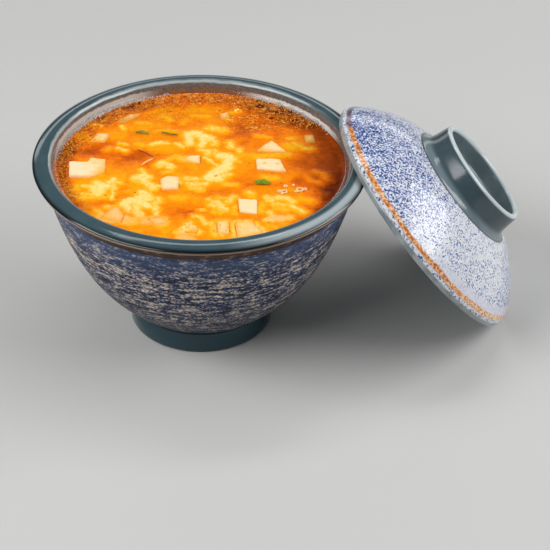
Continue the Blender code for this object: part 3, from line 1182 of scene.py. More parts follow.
POOLS = tuple(Pool(*row) for row in (
    (-31, 13, 12, 7, -2.1), (-50, 21, 9, 6, -2.5), (23, 31, 9, 11, -1.9), (42, 38, 14, 9, -2.2),
    (30, 52, 14, 6, -2.4), (-9, -37, 10, 4, -1.5), (7, -21, 9, 3, -0.8), (20, -12, 5, 8, -0.9),
    (50, 1, 10, 10, -1.9), (57, -20, 8, 12, -2.4), (44, -16, 7, 5, -1.2), (46, -42, 6, 6, -1.2),
    (-44, -26, 9, 3, -1.1), (-8, 42, 9, 5, -0.8), (-62, 2, 4, 22, -1.4), (-45, 46, 9, 6, -1.8),
    (-20, 59, 22, 4, -1.6), (12, 61, 14, 4, -1.4), (-22, 14, 6, 4, -0.8), (3, 17, 6, 3, -0.7),
    (-18, 19, 12, 7, 0.6), (-38, 31, 8, 7, 0.4), (-20, 38, 12, 6, 0.3), (17, -2, 6, 6, 0.7),
    (28, 7, 12, 3, 0.9), (-56, -12, 6, 7, 0.9), (-38, -8, 9, 7, 0.5), (-12, -25, 6, 3, 0.9),
    (0, -6, 12, 9, 0.6), (-25, -50, 18, 8, 0.5), (14, -55, 16, 7, 0.6), (33, -35, 9, 6, 0.5),
    (3, 51, 9, 5, 0.7), (8, 36, 8, 6, 0.5), (-48, -2, 8, 6, 0.7), (-45, -36, 8, 6, 0.7),
    (-34, -16, 6, 4, 0.5),
))

EGG = tuple(Strand(*row) for row in (
    # behind the middle
    (((-3.6, 28.5), (-3.2, 24.5), (-3.4, 21)), 2.6, 0.45),
    (((-3.0, 29), (0.5, 29.8), (3, 27), (6, 25)), 3.6, 0.45),
    (((3.5, 27), (3.2, 22), (2.2, 19)), 3.0, 0.35), (((4.5, 24), (8.5, 22), (8, 19)), 2.8, -0.2),
    (((15.4, 20), (15.6, 16.2)), 2.0, 0.1), (((19.2, 13.6), (18.9, 11.8)), 1.6, 0.0),
    (((1.2, 15.4), (2.2, 14.4)), 1.2, 0.1), (((4.6, 14), (4.2, 10.6)), 2.0, 0.15),
    (((8, 13.2), (7.6, 10.6)), 2.2, -0.2), (((10.2, 8.6), (13, 8.2), (14.4, 6.2)), 4.0, 0.45),
    (((13.6, 6), (12.4, 1), (11.6, -1.2)), 3.6, 0.5),
    (((11.6, -1.2), (8.6, -3.6), (5.6, -6.6), (3, -9.6)), 4.6, 0.5),
    (((2.4, -10.8), (7.6, -11.6)), 3.0, 0.3), (((8, -9.6), (12.2, -7.8)), 2.2, 0.1),
    (((2.9, 7.9), (5.2, 3.8), (7.3, 0.4)), 1.3, 0.15, 1.3, 0.3),
    (((16, 4.5), (17.6, 3)), 2.2, -0.5),
    (((-21.2, 21.8), (-17.5, 22.9), (-14, 22.4)), 1.9, 0.2, 1.1, 0.2),
    (((-9.4, 21.2), (-7.8, 20), (-6.9, 18.4)), 1.7, 0.1, 1.1, 0.2),
    (((-35.6, 24.2), (-33.4, 23.4)), 1.5, -0.1, 1.2),
    (((-36.9, 20.2), (-33.4, 17.4)), 1.4, 0.15, 1.3, 0.2),
    (((-34, 39.4), (-33, 36.6)), 1.5, -0.1, 1.2),
    (((-19, 3.2), (-17.4, 5.2), (-15.2, 3.6), (-13.8, 1)), 2.6, 0.25),
    (((-14, -2.4), (-17.5, -3.2)), 1.6, -0.5), (((-3.6, 7), (-8.6, 8.4)), 4.0, -0.35),
    # left of the middle
    (((-27.5, 0.2), (-26.4, -3)), 1.6, 0.0, 1.0),
    (((-30.6, -6.6), (-27.4, -5.2), (-25, -6.6), (-27.6, -8.4)), 3.0, 0.3),
    (((-26.6, -10), (-24.6, -13.6), (-23.6, -16.6)), 2.8, 0.2),
    (((-23.4, -14.4), (-19.8, -14.6)), 1.5, 0.2, 1.1), (((-29, -11), (-31.5, -8.6)), 2.2, -0.5),
    (((-54.6, -11.6), (-49, -12.2)), 1.6, 0.1, 1.1),
    (((-48.4, -9.4), (-46.6, -12.6), (-43.4, -13)), 3.0, 0.4),
    (((-50.6, -13.6), (-49.6, -17), (-48.6, -19.4)), 2.6, 0.3),
    (((-46.8, -13), (-47.2, -17)), 3.2, 0.4), (((-42.8, -9.4), (-40.8, -7.2)), 2.0, 0.35),
    (((-40.4, -8.8), (-38, -10.2)), 1.4, 0.0),
    (((-40.8, -11), (-40.7, -14.6), (-42.1, -17.8), (-42.4, -23.4)), 1.3, 0.1, 1.2, 0.3),
    (((-55.4, -17.8), (-50.8, -18.8)), 2.0, -0.25),
    (((-56, -21), (-50, -21.4), (-44, -21)), 2.2, -0.5),
    (((-57.6, -11), (-59.5, -16)), 2.4, -0.8, 0.6),
    # front left
    (((-37.4, -28.6), (-35.8, -26), (-33.4, -25.8)), 3.0, 0.5),
    (((-36.4, -29), (-35.4, -33)), 2.2, 0.25),
    (((-28.6, -19.4), (-26.8, -21.4), (-26, -24.8)), 3.4, 0.35),
    (((-30.4, -23.8), (-29.6, -28), (-27.6, -30.4)), 3.0, 0.45),
    (((-32.2, -29.4), (-32, -34), (-30.9, -38)), 2.6, 0.2),
    (((-27.6, -30.8), (-24.2, -32), (-23.4, -34)), 2.0, 0.2),
    (((-22, -24.6), (-21.2, -27.4), (-24, -29)), 2.0, -0.05),
    (((-23.8, -36.6), (-23.3, -38.6)), 1.3, 0.1, 1.3, 0.2),
    (((-45, -29.8), (-42.2, -30.4), (-41.8, -34.6), (-39.6, -38.6)), 2.4, -0.35, 0.9),
    (((-50, -32), (-47.6, -35.6)), 2.2, -0.6, 0.9),
    (((-47.6, -38.6), (-41, -40), (-35, -42.6)), 5.6, -0.55, 0.7),
    (((-30, -38), (-29.6, -44)), 2.4, -0.7, 0.7),
    (((-26, -42), (-21, -43), (-22, -46.4)), 5.0, -0.5, 0.8),
    # middle
    (((-11.4, -9.4), (-11, -12.6)), 1.8, -0.1), (((-7.6, -9.4), (-3, -10.6)), 2.4, 0.05),
    (((-7.6, -14), (-2, -14.7), (1.6, -14.8)), 1.5, 0.15, 1.0),
    (((-5.6, -16.6), (-2, -18.4)), 3.8, -0.2), (((9.4, -15.8), (14, -16.6)), 2.2, -0.5),
    (((-14.8, -25), (-11, -25.6)), 4.0, -0.75, 0.6),
    (((-3.6, -36), (-1.6, -36.4)), 1.2, -0.3, 1.1),
    (((-6.8, -41.2), (-4.7, -41.7), (-3.3, -44.8), (-2.3, -48)), 1.7, 0.0, 1.0),
    (((-0.4, -47.4), (1, -52), (1.2, -57)), 2.6, -0.3),
    (((-15.8, -53.4), (-10, -54), (-6.2, -54.6)), 1.8, -0.3),
    (((-9.9, -47), (-12.6, -51), (-14.6, -53.4)), 1.9, -0.05),
    (((-9.6, -47), (-7.8, -51), (-6, -54)), 2.0, 0.1),
    (((-14, -57), (-10.6, -59.6)), 4.0, -0.7, 0.7),
    # front right
    (((1.4, -28.6), (3.8, -31.6), (6, -36.4)), 3.0, -0.2),
    (((4.6, -31), (6, -33.4), (7.6, -36.8)), 2.2, 0.15), (((1.2, -33), (2.8, -34.2)), 1.6, 0.0),
    (((3, -38.6), (7.6, -38.4)), 3.0, -0.6),
    (((9.8, -31), (10.8, -28.4), (12.4, -27)), 1.9, 0.05), (((8, -27.6), (5, -26.6)), 1.6, -0.5),
    (((19.4, -24), (21, -27)), 3.6, -0.7), (((19.8, -23.4), (20.4, -24.4)), 1.3, 0.0),
    (((11.8, -35), (11.2, -41)), 1.6, -0.6), (((24.6, -34), (23.4, -40)), 3.0, -0.7),
    (((27.2, -28.4), (27.6, -31.4)), 1.9, 0.0),
    (((29.4, -31.4), (32.6, -29), (36.4, -30.6), (38.4, -33.4)), 2.4, 0.1),
    (((30, -34.6), (34.6, -35.8)), 2.2, -0.15),
    (((37.4, -37), (40, -39.6), (42.3, -42.2)), 1.9, 0.05), (((31, -38), (35, -39.4)), 2.6, -0.6),
    (((42, -31), (46, -33)), 3.0, -1.0, 0.6),
    (((27.2, -41), (28.2, -45.4), (32, -47.2), (35.6, -46)), 2.8, -0.25),
    (((24.6, -47.4), (27.4, -47.6)), 1.7, 0.0, 1.0), (((25.4, -51.6), (28, -53.6)), 2.6, -0.9),
    (((3.2, -46), (7.2, -46.4)), 1.6, -0.1), (((3.4, -50.6), (7.4, -51)), 1.8, -0.15),
    (((4.6, -53), (3.6, -57)), 2.4, -0.25), (((10, -48), (9.6, -54), (9.4, -59)), 1.7, -0.2),
    (((11, -47.4), (17.6, -48)), 1.5, -0.15), (((13.6, -52), (15.4, -55.4)), 3.0, 0.25),
    (((19.4, -50), (21.6, -54), (23, -57.6)), 1.9, 0.0), (((17, -58), (21, -59)), 3.0, -0.3),
    # right and far side
    (((28.6, -11.4), (33, -12.6)), 3.4, -0.7), (((26, 6.6), (33, 7.4), (41, 7.6)), 3.2, -0.8),
    (((18, 9), (24, 8.4)), 3.0, -1.0), (((41.4, 15.6), (44, 13)), 3.0, -0.9, 0.6),
    (((45.2, 17), (47, 14.6), (49.4, 12.4)), 1.2, -0.4, 1.0),
    (((49.6, 11.8), (52.8, 11.4)), 1.3, -0.3, 1.0), (((43, 21.4), (45.2, 21.4)), 1.1, -0.6, 1.1),
    (((29, 25.4), (34, 23.4)), 1.7, -1.0), (((7, 34), (13.6, 31.6)), 3.8, -0.35),
    (((8.6, 35), (9.4, 33)), 2.6, -0.3), (((0.6, 46.6), (4, 45.6), (8, 45)), 1.6, -0.7),
    (((19, 47.8), (21.8, 49)), 1.3, -0.6), (((16.4, 41.6), (17.6, 40.6)), 1.3, -0.4, 1.1),
    (((-26, 42.2), (-20.8, 41)), 1.6, -0.7),
    (((-14.6, 47.6), (-12, 46), (-10.8, 43.6)), 1.8, -0.6), (((-53, 33.8), (-51, 31)), 2.4, -0.7),
    (((-46.6, 42.4), (-43.6, 41)), 1.2, -0.4, 1.2), (((-27.6, 23), (-25.2, 21.4)), 2.6, -0.7),
    (((-20, 19), (-13, 17)), 5.0, -1.2, 0.5), (((-14.4, 7.6), (-10.4, 11)), 2.2, -0.7),
    (((-42, 19.6), (-40.6, 20.4)), 1.4, -1.0), (((-18.6, 34), (-13, 34.2), (-9, 33)), 1.6, -1.0),
    (((-3, 43), (-5, 40)), 2.0, -1.1), (((52, -8.2), (55.6, -10.4), (56, -14)), 1.1, -1.9, 0.8),
    (((47.4, -11.8), (49, -16), (53, -17.6)), 1.1, -2.0, 0.8),
))

# Rings of fine bubbles, open in the middle.
HOLES: tuple[Spot, ...] = (
    (33.4, 53.8, 2.0), (40.6, 47.6, 1.2), (37.8, 42.0, 1.3), (46.7, 45.2, 1.5), (48.4, 39.6, 1.4),
    (22.4, 48.6, 0.7), (13.8, 50.4, 0.7), (-10.7, -51.0, 1.1), (6.4, -9.2, 0.8),
    (42.2, -24.6, 0.8),
)

# Where chilli tints the egg.
PEACH = tuple(Pool(*row) for row in (
    (-42, -39, 8, 6, 1.0), (-23, -43, 5, 4, 0.6), (-12, -58, 5, 4, 0.8), (31, -46, 5, 3, 0.9),
    (18, -58, 5, 3, 0.7), (-29, -45, 3, 5, 0.5),
))


@dataclass(frozen=True)
class ThickBroth:
    """Chilli and vinegar broth thickened with starch: amber, cloudy, deeper red where it is clear.

    Light is absorbed on its way through the broth, so what lies deeper is more orange and then
    brown, and set egg near the surface is cream.
    """

    shades: Shades = (
        (-8.0, "3E1402"), (-6.6, "762A00"), (-5.4, "A04200"), (-4.5, "C05000"), (-3.8, "D96000"),
        (-3.2, "EC6F00"), (-2.7, "F78000"), (-2.2, "FB8C00"), (-1.7, "FD9B02"), (-1.2, "FEA904"),
        (-0.8, "FEB516"), (-0.45, "FEC034"), (-0.1, "FECD5C"), (0.3, "FDDA7C"), (0.8, "FDE49A"),
    )
    froth: Shades = (
        (0.33, "4A1C02"), (0.41, "A04804"), (0.48, "DC7604"), (0.58, "F08E14"), (0.66, "FFC860"),
        (0.74, "FFECC0"),
    )
    peach: str = "FFC083"
    grain: float = 1.3  # mm

    def material(self) -> bpy.types.Material:
        """Build the thick broth.

        Returns:
            The material, which reads the attributes "depth", "froth" and "peach" of the piece.
        """
        tree = MaterialTree("starch-thickened chilli broth with set egg")
        place = tree.add("TexCoord")["Object"]
        depth, froth, peach = (
            tree.add("Attribute", attribute_name=name)["Fac"]
            for name in ("depth", "froth", "peach")
        )
        grain = tree.add(
            "TexNoise",
            {"Vector": place, "Scale": 1 / (self.grain * MM), "Detail": 3.0, "Roughness": 0.6},
        )[0]
        grained = tree.add("MapRange", (grain, 0.0, 1.0, -0.6, 0.6))[0]
        stirred = tree.add("Math", (depth, grained), operation="ADD")[0]
        low, high, stops = ramp(self.shades)
        share = tree.add("MapRange", (stirred, low, high))[0]
        colour = tree.add("ValToRGB", {"Fac": share}, stops=stops)[0]
        near = tree.add("MapRange", (stirred, -1.7, -0.4))[0]
        tinted = tree.add("Math", (near, peach), operation="MULTIPLY")[0]
        colour = tree.add("MixRGB", (tinted, colour, self.peach))[0]
        spots = tree.add(
            "TexNoise", {"Vector": place, "Scale": 1 / (1.3 * MM), "Detail": 2.0, "Roughness": 0.8}
        )[0]
        froth_colour = tree.add("ValToRGB", {"Fac": spots}, stops=self.froth)[0]
        colour = tree.add("MixRGB", (froth, colour, froth_colour))[0]
        shader = tree.add(
            "BsdfPrincipled",
            {"Base Color": colour, "Roughness": 0.32, "IOR": 1.36, "Specular IOR Level": 0.1},
        )
        return tree.finish(shader["BSDF"])


@dataclass(frozen=True)
class ClearSurface:
    """The wet skin of the broth, water with a film of oil: it only mirrors, and hides nothing."""

    ior: float = 1.33

    def material(self) -> bpy.types.Material:
        """Build the skin.

        Returns:
            The material.
        """
        tree = MaterialTree("clear wet surface of the broth")
        place = tree.add("TexCoord")["Object"]
        ripple = tree.add("TexNoise", {"Vector": place, "Scale": 1 / (5 * MM), "Detail": 3.0})[0]
        bump = tree.add("Bump", {"Height": ripple, "Strength": 0.25, "Distance": 0.25 * MM})[0]
        mirror = tree.add("Fresnel", {"IOR": self.ior, "Normal": bump})[0]
        under = tree.add("NewGeometry")["Backfacing"]
        mirror = tree.add("MixRGB", (under, mirror, "000000"))[0]
        gloss = tree.add("BsdfGlossy", {"Color": "FFFFFF", "Roughness": 0.06, "Normal": bump})[0]
        clear = tree.add("BsdfTransparent", {"Color": "FFFFFF"})[0]
        skin = tree.add("MixShader", (mirror, clear, gloss))[0]
        return tree.finish(skin)


@dataclass
class Broth:
    """The soup itself: a thick bed whose upper side carries the egg, under a clear wet skin."""

    cells: int = 296
    seed: int = 11
    plain: float = -2.1  # mm, depth where there is neither pool nor egg
    deepest: float = -8.0  # mm
    highest: float = 0.62  # mm
    sharpness: float = 4.0  # how hard the egg's outline is against the broth
    reach: float = 5.0  # mm beside a strand of egg that it still clouds
    relief: float = 0.2  # share of the depth that the bed's own surface goes down
    bed_depth: float = 22.0  # mm
    bed_taper: float = 61.5 / 67.55  # of the bed's underside
    lap: float = 0.05  # mm, how far the bed goes into the wall
    shore: float = 3.0  # mm, width of the plain stretch along the wall
    shore_drop: float = 0.15  # mm, how far it lies under the broth's level
    out_of_sight: float = -2.4  # mm over that level, food that the bed may cover
    clearance: float = 0.5  # mm, between the bed and food in sight
    skin_steps: int = 192
    thick: ThickBroth = field(default_factory=ThickBroth)
    skin: ClearSurface = field(default_factory=ClearSurface)

    def optical_depth(self, x: np.ndarray, y: np.ndarray) -> np.ndarray:
        """How deep the eye seems to look into the broth at each place.

        Args:
            x: places along X from the bowl's axis, in millimetres.
            y: places along Y, in millimetres.

        Returns:
            Depth in millimetres; minus is under the broth's level.
        """
        wide_x = x + self.drift(9.0, 0, x, y) * 2.2
        wide_y = y + self.drift(9.0, 1, x, y) * 2.2
        depth = np.full_like(x, self.plain)
        for pool in POOLS:
            depth += pool.at(wide_x, wide_y)
        # painted shadow of the wall and the lid, drawn as deeper, darker broth
        depth -= self.painted_wall_shadow(x, y)
        depth += 0.60 * self.drift(7.0, 3, wide_x, wide_y)
        depth += 0.35 * self.drift(2.6, 4, wide_x, wide_y)
        ragged_x = x + self.drift(2.2, 5, x, y) * 0.8
        ragged_y = y + self.drift(2.2, 6, x, y) * 0.8
        tear = Drift(1.5, self.seed + 7, 2).at(x, y)
        for strand in EGG:
            away = stroke_distance(ragged_x, ragged_y, strand.line)
            half = strand.width / 2
            near = away < half + self.reach
            inside = np.clip(away[near] / half, 0, 1)
            outside = np.maximum(away[near] - half, 0)
            top = strand.top - 0.25 * inside**2 - strand.fade * outside
            top += strand.lace * (tear[near] - 0.1) * (1 - 0.35 * inside)
            joint = np.logaddexp(depth[near] * self.sharpness, top * self.sharpness)
            depth[near] = joint / self.sharpness
        for hole_x, hole_y, radius in HOLES:
            away = np.hypot(ragged_x - hole_x, ragged_y - hole_y)
            ring = bell(away - radius - 0.5, 0.5)
            inner = 1 - eased(away, radius - 0.3, radius + 0.4)
            depth += 1.6 * ring - inner * (depth + 7.4) * (0.35 if radius < 1.2 else 0.95)
        return np.clip(depth, self.deepest, self.highest)

    def drift(self, feature: float, number: int, x: np.ndarray, y: np.ndarray) -> np.ndarray:
        """One of the broth's own seeded noises.

        Args:
            feature: size of a swell, in millimetres.
            number: which one of them.
            x: places along X from the bowl's axis, in millimetres.
            y: places along Y, in millimetres.

        Returns:
            The noise at each place.
        """
        return Drift(feature, self.seed + number).at(x, y)

    def painted_wall_shadow(self, x: np.ndarray, y: np.ndarray) -> np.ndarray:
        """Painted shadow of the wall and the lid: the broth is drawn deeper, and so darker,
        near the wall, all but in front.

        Args:
            x: places along X from the bowl's axis, in millimetres.
            y: places along Y, in millimetres.

        Returns:
            The extra depth in millimetres.
        """
        radius, turn = np.hypot(x, y), np.degrees(np.arctan2(y, x))
        edge = radius + self.drift(6.0, 2, x, y) * 1.5
        right = eased(turn, -60, -25) * (1 - eased(turn, 45, 70))
        back_left = eased(turn, 95, 120) * (1 - eased(turn, 160, 175))
        left = eased(np.abs(turn), 145, 165)
        back = eased(turn, 40, 60) * (1 - eased(turn, 105, 130))
        shade = 3.6 * right * eased(edge, 50, 67) + 2.8 * back_left * eased(edge, 55, 66)
        return shade + 1.9 * left * eased(edge, 59, 66) + 1.9 * back * eased(edge, 57, 66)

    def build(self, food: Sequence[bpy.types.Object]) -> None:
        """Make the thick bed and the clear skin over it.

        Args:
            food: the pieces that lie in the broth, which it stays clear of.
        """
        self.build_bed(food)
        self.build_skin()

    def build_bed(self, food: Sequence[bpy.types.Object]) -> None:
        """Lay a fine grid over a disc and raise it to the egg, then close it down the wall.

        Args:
            food: the pieces that the bed stays clear of.
        """
        deselect_all()
        bpy.ops.mesh.primitive_grid_add(
            x_subdivisions=self.cells, y_subdivisions=self.cells, size=2.0
        )
        bed = just_added("egg_drop_broth")
        with editing(bed):
            bpy.ops.mesh.region_to_loop()
            bpy.ops.mesh.extrude_edges_move(TRANSFORM_OT_translate={"value": (0, 0, -1)})
            bpy.ops.mesh.edge_face_add()
            bpy.ops.mesh.select_all(action="SELECT")
            bpy.ops.mesh.normals_make_consistent(inside=False)
        u, v, w = points_of(bed).T
        low = w < -0.5
        x, y = self.square_to_disc(u, v, WALL_AT_BROTH + self.lap)
        depth = self.optical_depth(x, y)
        relief = np.where(depth < 0, depth * self.relief, depth)
        edge = eased(np.hypot(x, y), WALL_AT_BROTH - self.shore, WALL_AT_BROTH)
        relief = relief * (1 - edge) - self.shore_drop * edge
        relief = self.clear_of(food, x, y, relief, low)
        level = BROTH_LEVEL / MM
        z = np.where(low, level - self.bed_depth, level + relief)
        taper = np.where(low, self.bed_taper, 1.0) * MM
        final = np.stack([x * taper + BOWL_X, y * taper, z * MM], axis=1)
        bed.data.vertices.foreach_set("co", final.astype(np.float32).ravel())
        bed.data.update()
        peach = sum(pool.at(x, y) for pool in PEACH)
        store(bed, "depth", np.where(low, self.deepest, depth))
        store(bed, "froth", np.where(low, 0.0, self.froth(x, y, depth)))
        store(bed, "peach", np.clip(np.where(low, 0.0, peach), 0, 0.8))
        make_active(bed)
        bpy.ops.object.shade_smooth()
        hand_in(bed, Slot.BROTH, self.thick.material(), "soup")

    @staticmethod
    def square_to_disc(
        u: np.ndarray, v: np.ndarray, radius: float
    ) -> tuple[np.ndarray, np.ndarray]:
        """Spread a square grid over a disc, each square ring of it over a round one.

        Args:
            u: places along X on the grid, from minus one to one.
            v: places along Y on the grid.
            radius: the disc's radius.

        Returns:
            Places along X and Y on the disc.
        """
        wide = np.abs(u) > np.abs(v)
        ratio = np.where(wide, v / np.where(u == 0, 1, u), u / np.where(v == 0, 1, v))
        turn = np.where(wide, ratio * math.pi / 4, math.pi / 2 - ratio * math.pi / 4)
        reach = np.maximum(np.abs(u), np.abs(v)) * radius * np.where(wide, np.sign(u), np.sign(v))
        return reach * np.cos(turn), reach * np.sin(turn)

    def clear_of(
        self,
        food: Sequence[bpy.types.Object],
        x: np.ndarray,
        y: np.ndarray,
        relief: np.ndarray,
        low: np.ndarray,
    ) -> np.ndarray:
        """Lower the bed under each piece of food, so that the piece shows through the clear skin.

        Args:
            food: the pieces.
            x: places along X from the bowl's axis, in millimetres.
            y: places along Y, in millimetres.
            relief: height over the broth's level at each place, in millimetres.
            low: which places belong to the bed's underside.

        Returns:
            The lowered relief.
        """
        lowered = relief.copy()
        for piece in food:
            tree = BVHTree.FromPolygons(
                [vertex.co for vertex in piece.data.vertices],
                [polygon.vertices for polygon in piece.data.polygons],
            )
            corners = points_of(piece)[:, :2] - (BOWL_X, 0)
            (left, near), (right, far) = corners.min(axis=0) / MM, corners.max(axis=0) / MM
            over = (x > left) & (x < right) & (y > near) & (y < far) & ~low
            for index in np.flatnonzero(over):
                above = Vector((x[index] * MM + BOWL_X, y[index] * MM, RIM_TOP))
                hit = tree.ray_cast(above, Vector((0, 0, -1)))[0]
                if hit is None:
                    continue
                top = (hit.z - BROTH_LEVEL) / MM
                if top > self.out_of_sight and relief[index] < max(0.0, top + 0.1):
                    lowered[index] = min(lowered[index], top - self.clearance)
        return lowered

    def froth(self, x: np.ndarray, y: np.ndarray, depth: np.ndarray) -> np.ndarray:
        """Where fine froth and spice gather along the bowl's wall.

        Args:
            x: places along X from the bowl's axis, in millimetres.
            y: places along Y, in millimetres.
            depth: optical depth at each place, in millimetres.

        Returns:
            The share of froth, from zero to one.
        """
        radius, turn = np.hypot(x, y), np.degrees(np.arctan2(y, x))
        patchy = 0.55 + 0.8 * self.drift(5.0, 8, x, y)
        left = eased(np.abs(turn), 145, 160) * eased(radius, 59, 65)
        back = eased(turn, 20, 55) * (1 - eased(turn, 155, 170)) * eased(radius, 52, 62)
        middle_back = 0.55 * bell(x + 10, 14) * bell(y - 50, 7)
        right_back = bell(x - 32, 16) * bell(y - 41, 11)
        share = np.maximum.reduce([left, back, middle_back, right_back])
        for hole_x, hole_y, size in HOLES:
            share = share * eased(np.hypot(x - hole_x, y - hole_y), size, size + 0.8)
        return np.clip(share * patchy * 1.2, 0.0, 0.8) * (1 - eased(depth, -1.0, 0.0))

    def build_skin(self) -> None:
        """Turn the clear layer, which creeps up the wall at its edge."""
        level, wall = BROTH_LEVEL / MM, WALL_AT_BROTH
        creep = ((-7.0, 0), (-3.4, 0.04), (-1.9, 0.22), (-0.8, 0.62), (-0.1, 1.15), (0.2, 1.6))
        rise = smooth_through([(wall + reach, level + climb) for reach, climb in creep], 4)
        under = [(wall + 0.35, level + 1.2), (wall - 0.6, level - 4.0), (0.0, level - 4.0)]
        section = [(0.0, level), (30.0, level), *rise, *under]
        skin = turned("clear_broth_surface", section, self.skin_steps)
        hand_in(skin, Slot.BROTH, self.skin.material())


# ---------------------------------------------------------------- what floats in the broth


@dataclass(frozen=True)
class SoftFood:
    """Silken tofu and other pale, moist food: waxy, faintly see-through, tinted by the broth."""

    name: str
    shades: Shades  # from the broth's level
    sway: float = 1.2  # mm, how far the shades wander up and down
    soaked: str = "FDAC18"  # under gold broth
    stained: str = "C87A30"  # under dark broth

    def material(self) -> bpy.types.Material:
        """Build the food's finish.

        Returns:
            The material.
        """
        tree = MaterialTree(self.name)
        place = tree.add("TexCoord")["Object"]
        height = tree.add("SeparateXYZ", {0: place})["Z"]
        mottle = tree.add("TexNoise", {"Vector": place, "Scale": 1 / (3.0 * MM), "Detail": 4.0})[0]
        swayed = tree.add("Math", (mottle, self.sway * MM, height), operation="MULTIPLY_ADD")[0]
        low, high, stops = ramp(self.shades)
        middle = BROTH_LEVEL + self.sway / 2 * MM
        share = tree.add("MapRange", (swayed, middle + low * MM, middle + high * MM))[0]
        colour = tree.add("ValToRGB", {"Fac": share}, stops=stops)[0]
        haze, stain = (
            tree.add("Attribute", attribute_name=name)["Fac"] for name in ("haze", "stain")
        )
        broth = tree.add("MixRGB", (stain, self.soaked, self.stained))[0]
        colour = tree.add("MixRGB", (haze, colour, broth))[0]
        grain = tree.add("TexNoise", {"Vector": place, "Scale": 1 / (0.8 * MM), "Detail": 2.0})[0]
        bump = tree.add("Bump", {"Height": grain, "Strength": 0.25, "Distance": 0.12 * MM})[0]
        shader = tree.add(
            "BsdfPrincipled",
            {
                "Base Color": colour,
                "Roughness": 0.35,
                "IOR": 1.38,
                "Normal": bump,
                "Specular IOR Level": 0.35,
                "Subsurface Weight": 0.12,
                "Subsurface Radius": (1.0 * MM, 0.8 * MM, 0.6 * MM),
                "Subsurface Scale": 1.0,
            },
        )
        return tree.finish(shader["BSDF"])


@dataclass(frozen=True)
class Lean:
    """How one piece of food lies, and how far the cloudy broth hides it."""

    about_x: float = 0.0  # degrees
    about_y: float = 0.0
    sink: float = 0.0  # mm
    haze: float = 0.0  # share of broth over all of it
    edge: float = 0.75  # share of broth over its outline
    soft: float = 0.7  # mm, width of that
    fade: tuple[Point, Point] | None = None  # from clear to hidden, mm from the bowl's axis
    stain: float = 0.0  # share of dark broth in the haze
    smoothing: int = 5
    holes: tuple[Spot, ...] = ()

    def haze_at(self, x: np.ndarray, y: np.ndarray, inside: np.ndarray) -> np.ndarray:
        """How far the broth hides each place of the piece.

        Args:
            x: places along X from the bowl's axis, in millimetres.
            y: places along Y, in millimetres.
            inside: how far each is from the piece's outline, in millimetres.

        Returns:
            The share of broth, from zero to one.
        """
        ragged = Drift(2.2, 91).at(x, y)
        hidden = np.full_like(x, self.haze) * (1 + 0.5 * ragged)
        rim = self.edge * (1 - eased(inside + 0.35 * ragged * self.soft, 0.0, self.soft))
        hidden = 1 - (1 - np.clip(hidden, 0, 1)) * (1 - rim)
        if self.fade:
            (x0, y0), (x1, y1) = self.fade
            run, rise = x1 - x0, y1 - y0
            part = ((x - x0) * run + (y - y0) * rise) / (run * run + rise * rise)
            hidden = 1 - (1 - hidden) * (1 - eased(part + 0.12 * ragged, 0.0, 1.0))
        for hole_x, hole_y, size in self.holes:
            away = np.hypot(x - hole_x, y - hole_y)
            hidden = 1 - (1 - hidden) * (0.4 + 0.6 * eased(away, 0.4 * size, size))
        return np.clip(hidden, 0.0, 0.96)


TOFU_LEANS = {
    "tofu_01": Lean(3.5, -4.5, 0.3, 0.0, 0.15, 0.4, ((-50.5, 3.5), (-43.0, -1.5))),
    "tofu_02": Lean(0, 0, 0.75, 0.15, 0.6, 1.4, ((-44.0, 32.0), (-50.5, 27.0)), 0.2, 12),
    "tofu_03": Lean(4, 4, 0.9, 0.20, 0.7, 1.8, ((-28.0, 50.0), (-37.5, 43.5)), 0.5, 12),
    "tofu_04": Lean(3, 0, 0.5, 0.05, 0.4, 1.0, ((34.0, 15.0), (28.5, 7.5)), 0.0, 8),
    "tofu_05": Lean(0, 0, 0.2, 0.0, 0.12, 0.4, ((37.0, -3.0), (42.0, -8.0)),
                    holes=((29.6, -0.6, 1.5), (35.4, -1.6, 1.3), (36.4, 1.2, 1.0))),
    "tofu_06": Lean(0, 0, 0.2, 0.0, 0.10, 0.4),
    "tofu_07": Lean(0, 6, 0.6, 0.05, 0.4, 0.9, ((-3.0, 6.0), (-11.0, 8.5)), 0.0, 8),
    "tofu_08": Lean(4, 0, 0.4, 0.04, 0.3, 0.8, ((-14.0, -10.0), (-8.5, -6.5)), 0.0, 8),
    "tofu_09": Lean(-3, 3, 1.0, 0.14, 0.8, 2.2, ((52.0, 22.0), (58.0, 17.0)), 0.5, 12),
    "tofu_10": Lean(6, 0, 0.7, 0.10, 0.5, 1.4, ((-9.0, -48.5), (-9.0, -54.5)), 0.0, 10),
    "tofu_11": Lean(0, 0, 0.8, 0.18, 0.6, 1.8, None, 0.0, 12),
    "tofu_12": Lean(0, 0, 0.8, 0.20, 0.6, 2.0, None, 0.0, 12),
    "tofu_13": Lean(0, 6, 0.8, 0.08, 0.7, 1.8, ((14.5, 46.5), (18.5, 43.0)), 0.3, 12),
}
SLICE_LEANS = {
    "slice_01": Lean(0, 0, 0.9, 0.20, 0.7, 2.4, ((-42.0, -34.0), (-48.0, -42.0)), 0.0, 12),
    "slice_02": Lean(0, 0, 0.9, 0.20, 0.7, 2.2, None, 0.0, 12),
}
TOFU_SHADES: Shades = (
    (-2.4, "FA9C10"), (-1.7, "FDB030"), (-1.1, "FFC458"), (-0.6, "FFD27C"), (-0.1, "FDDA94"),
    (0.4, "FBDFA8"), (0.9, "FAE3B8"),
)
SLICE_SHADES: Shades = ((-2.2, "FCA428"), (-1.4, "FFBE60"), (-0.6, "FFCE86"), (0.6, "FFDCA8"))


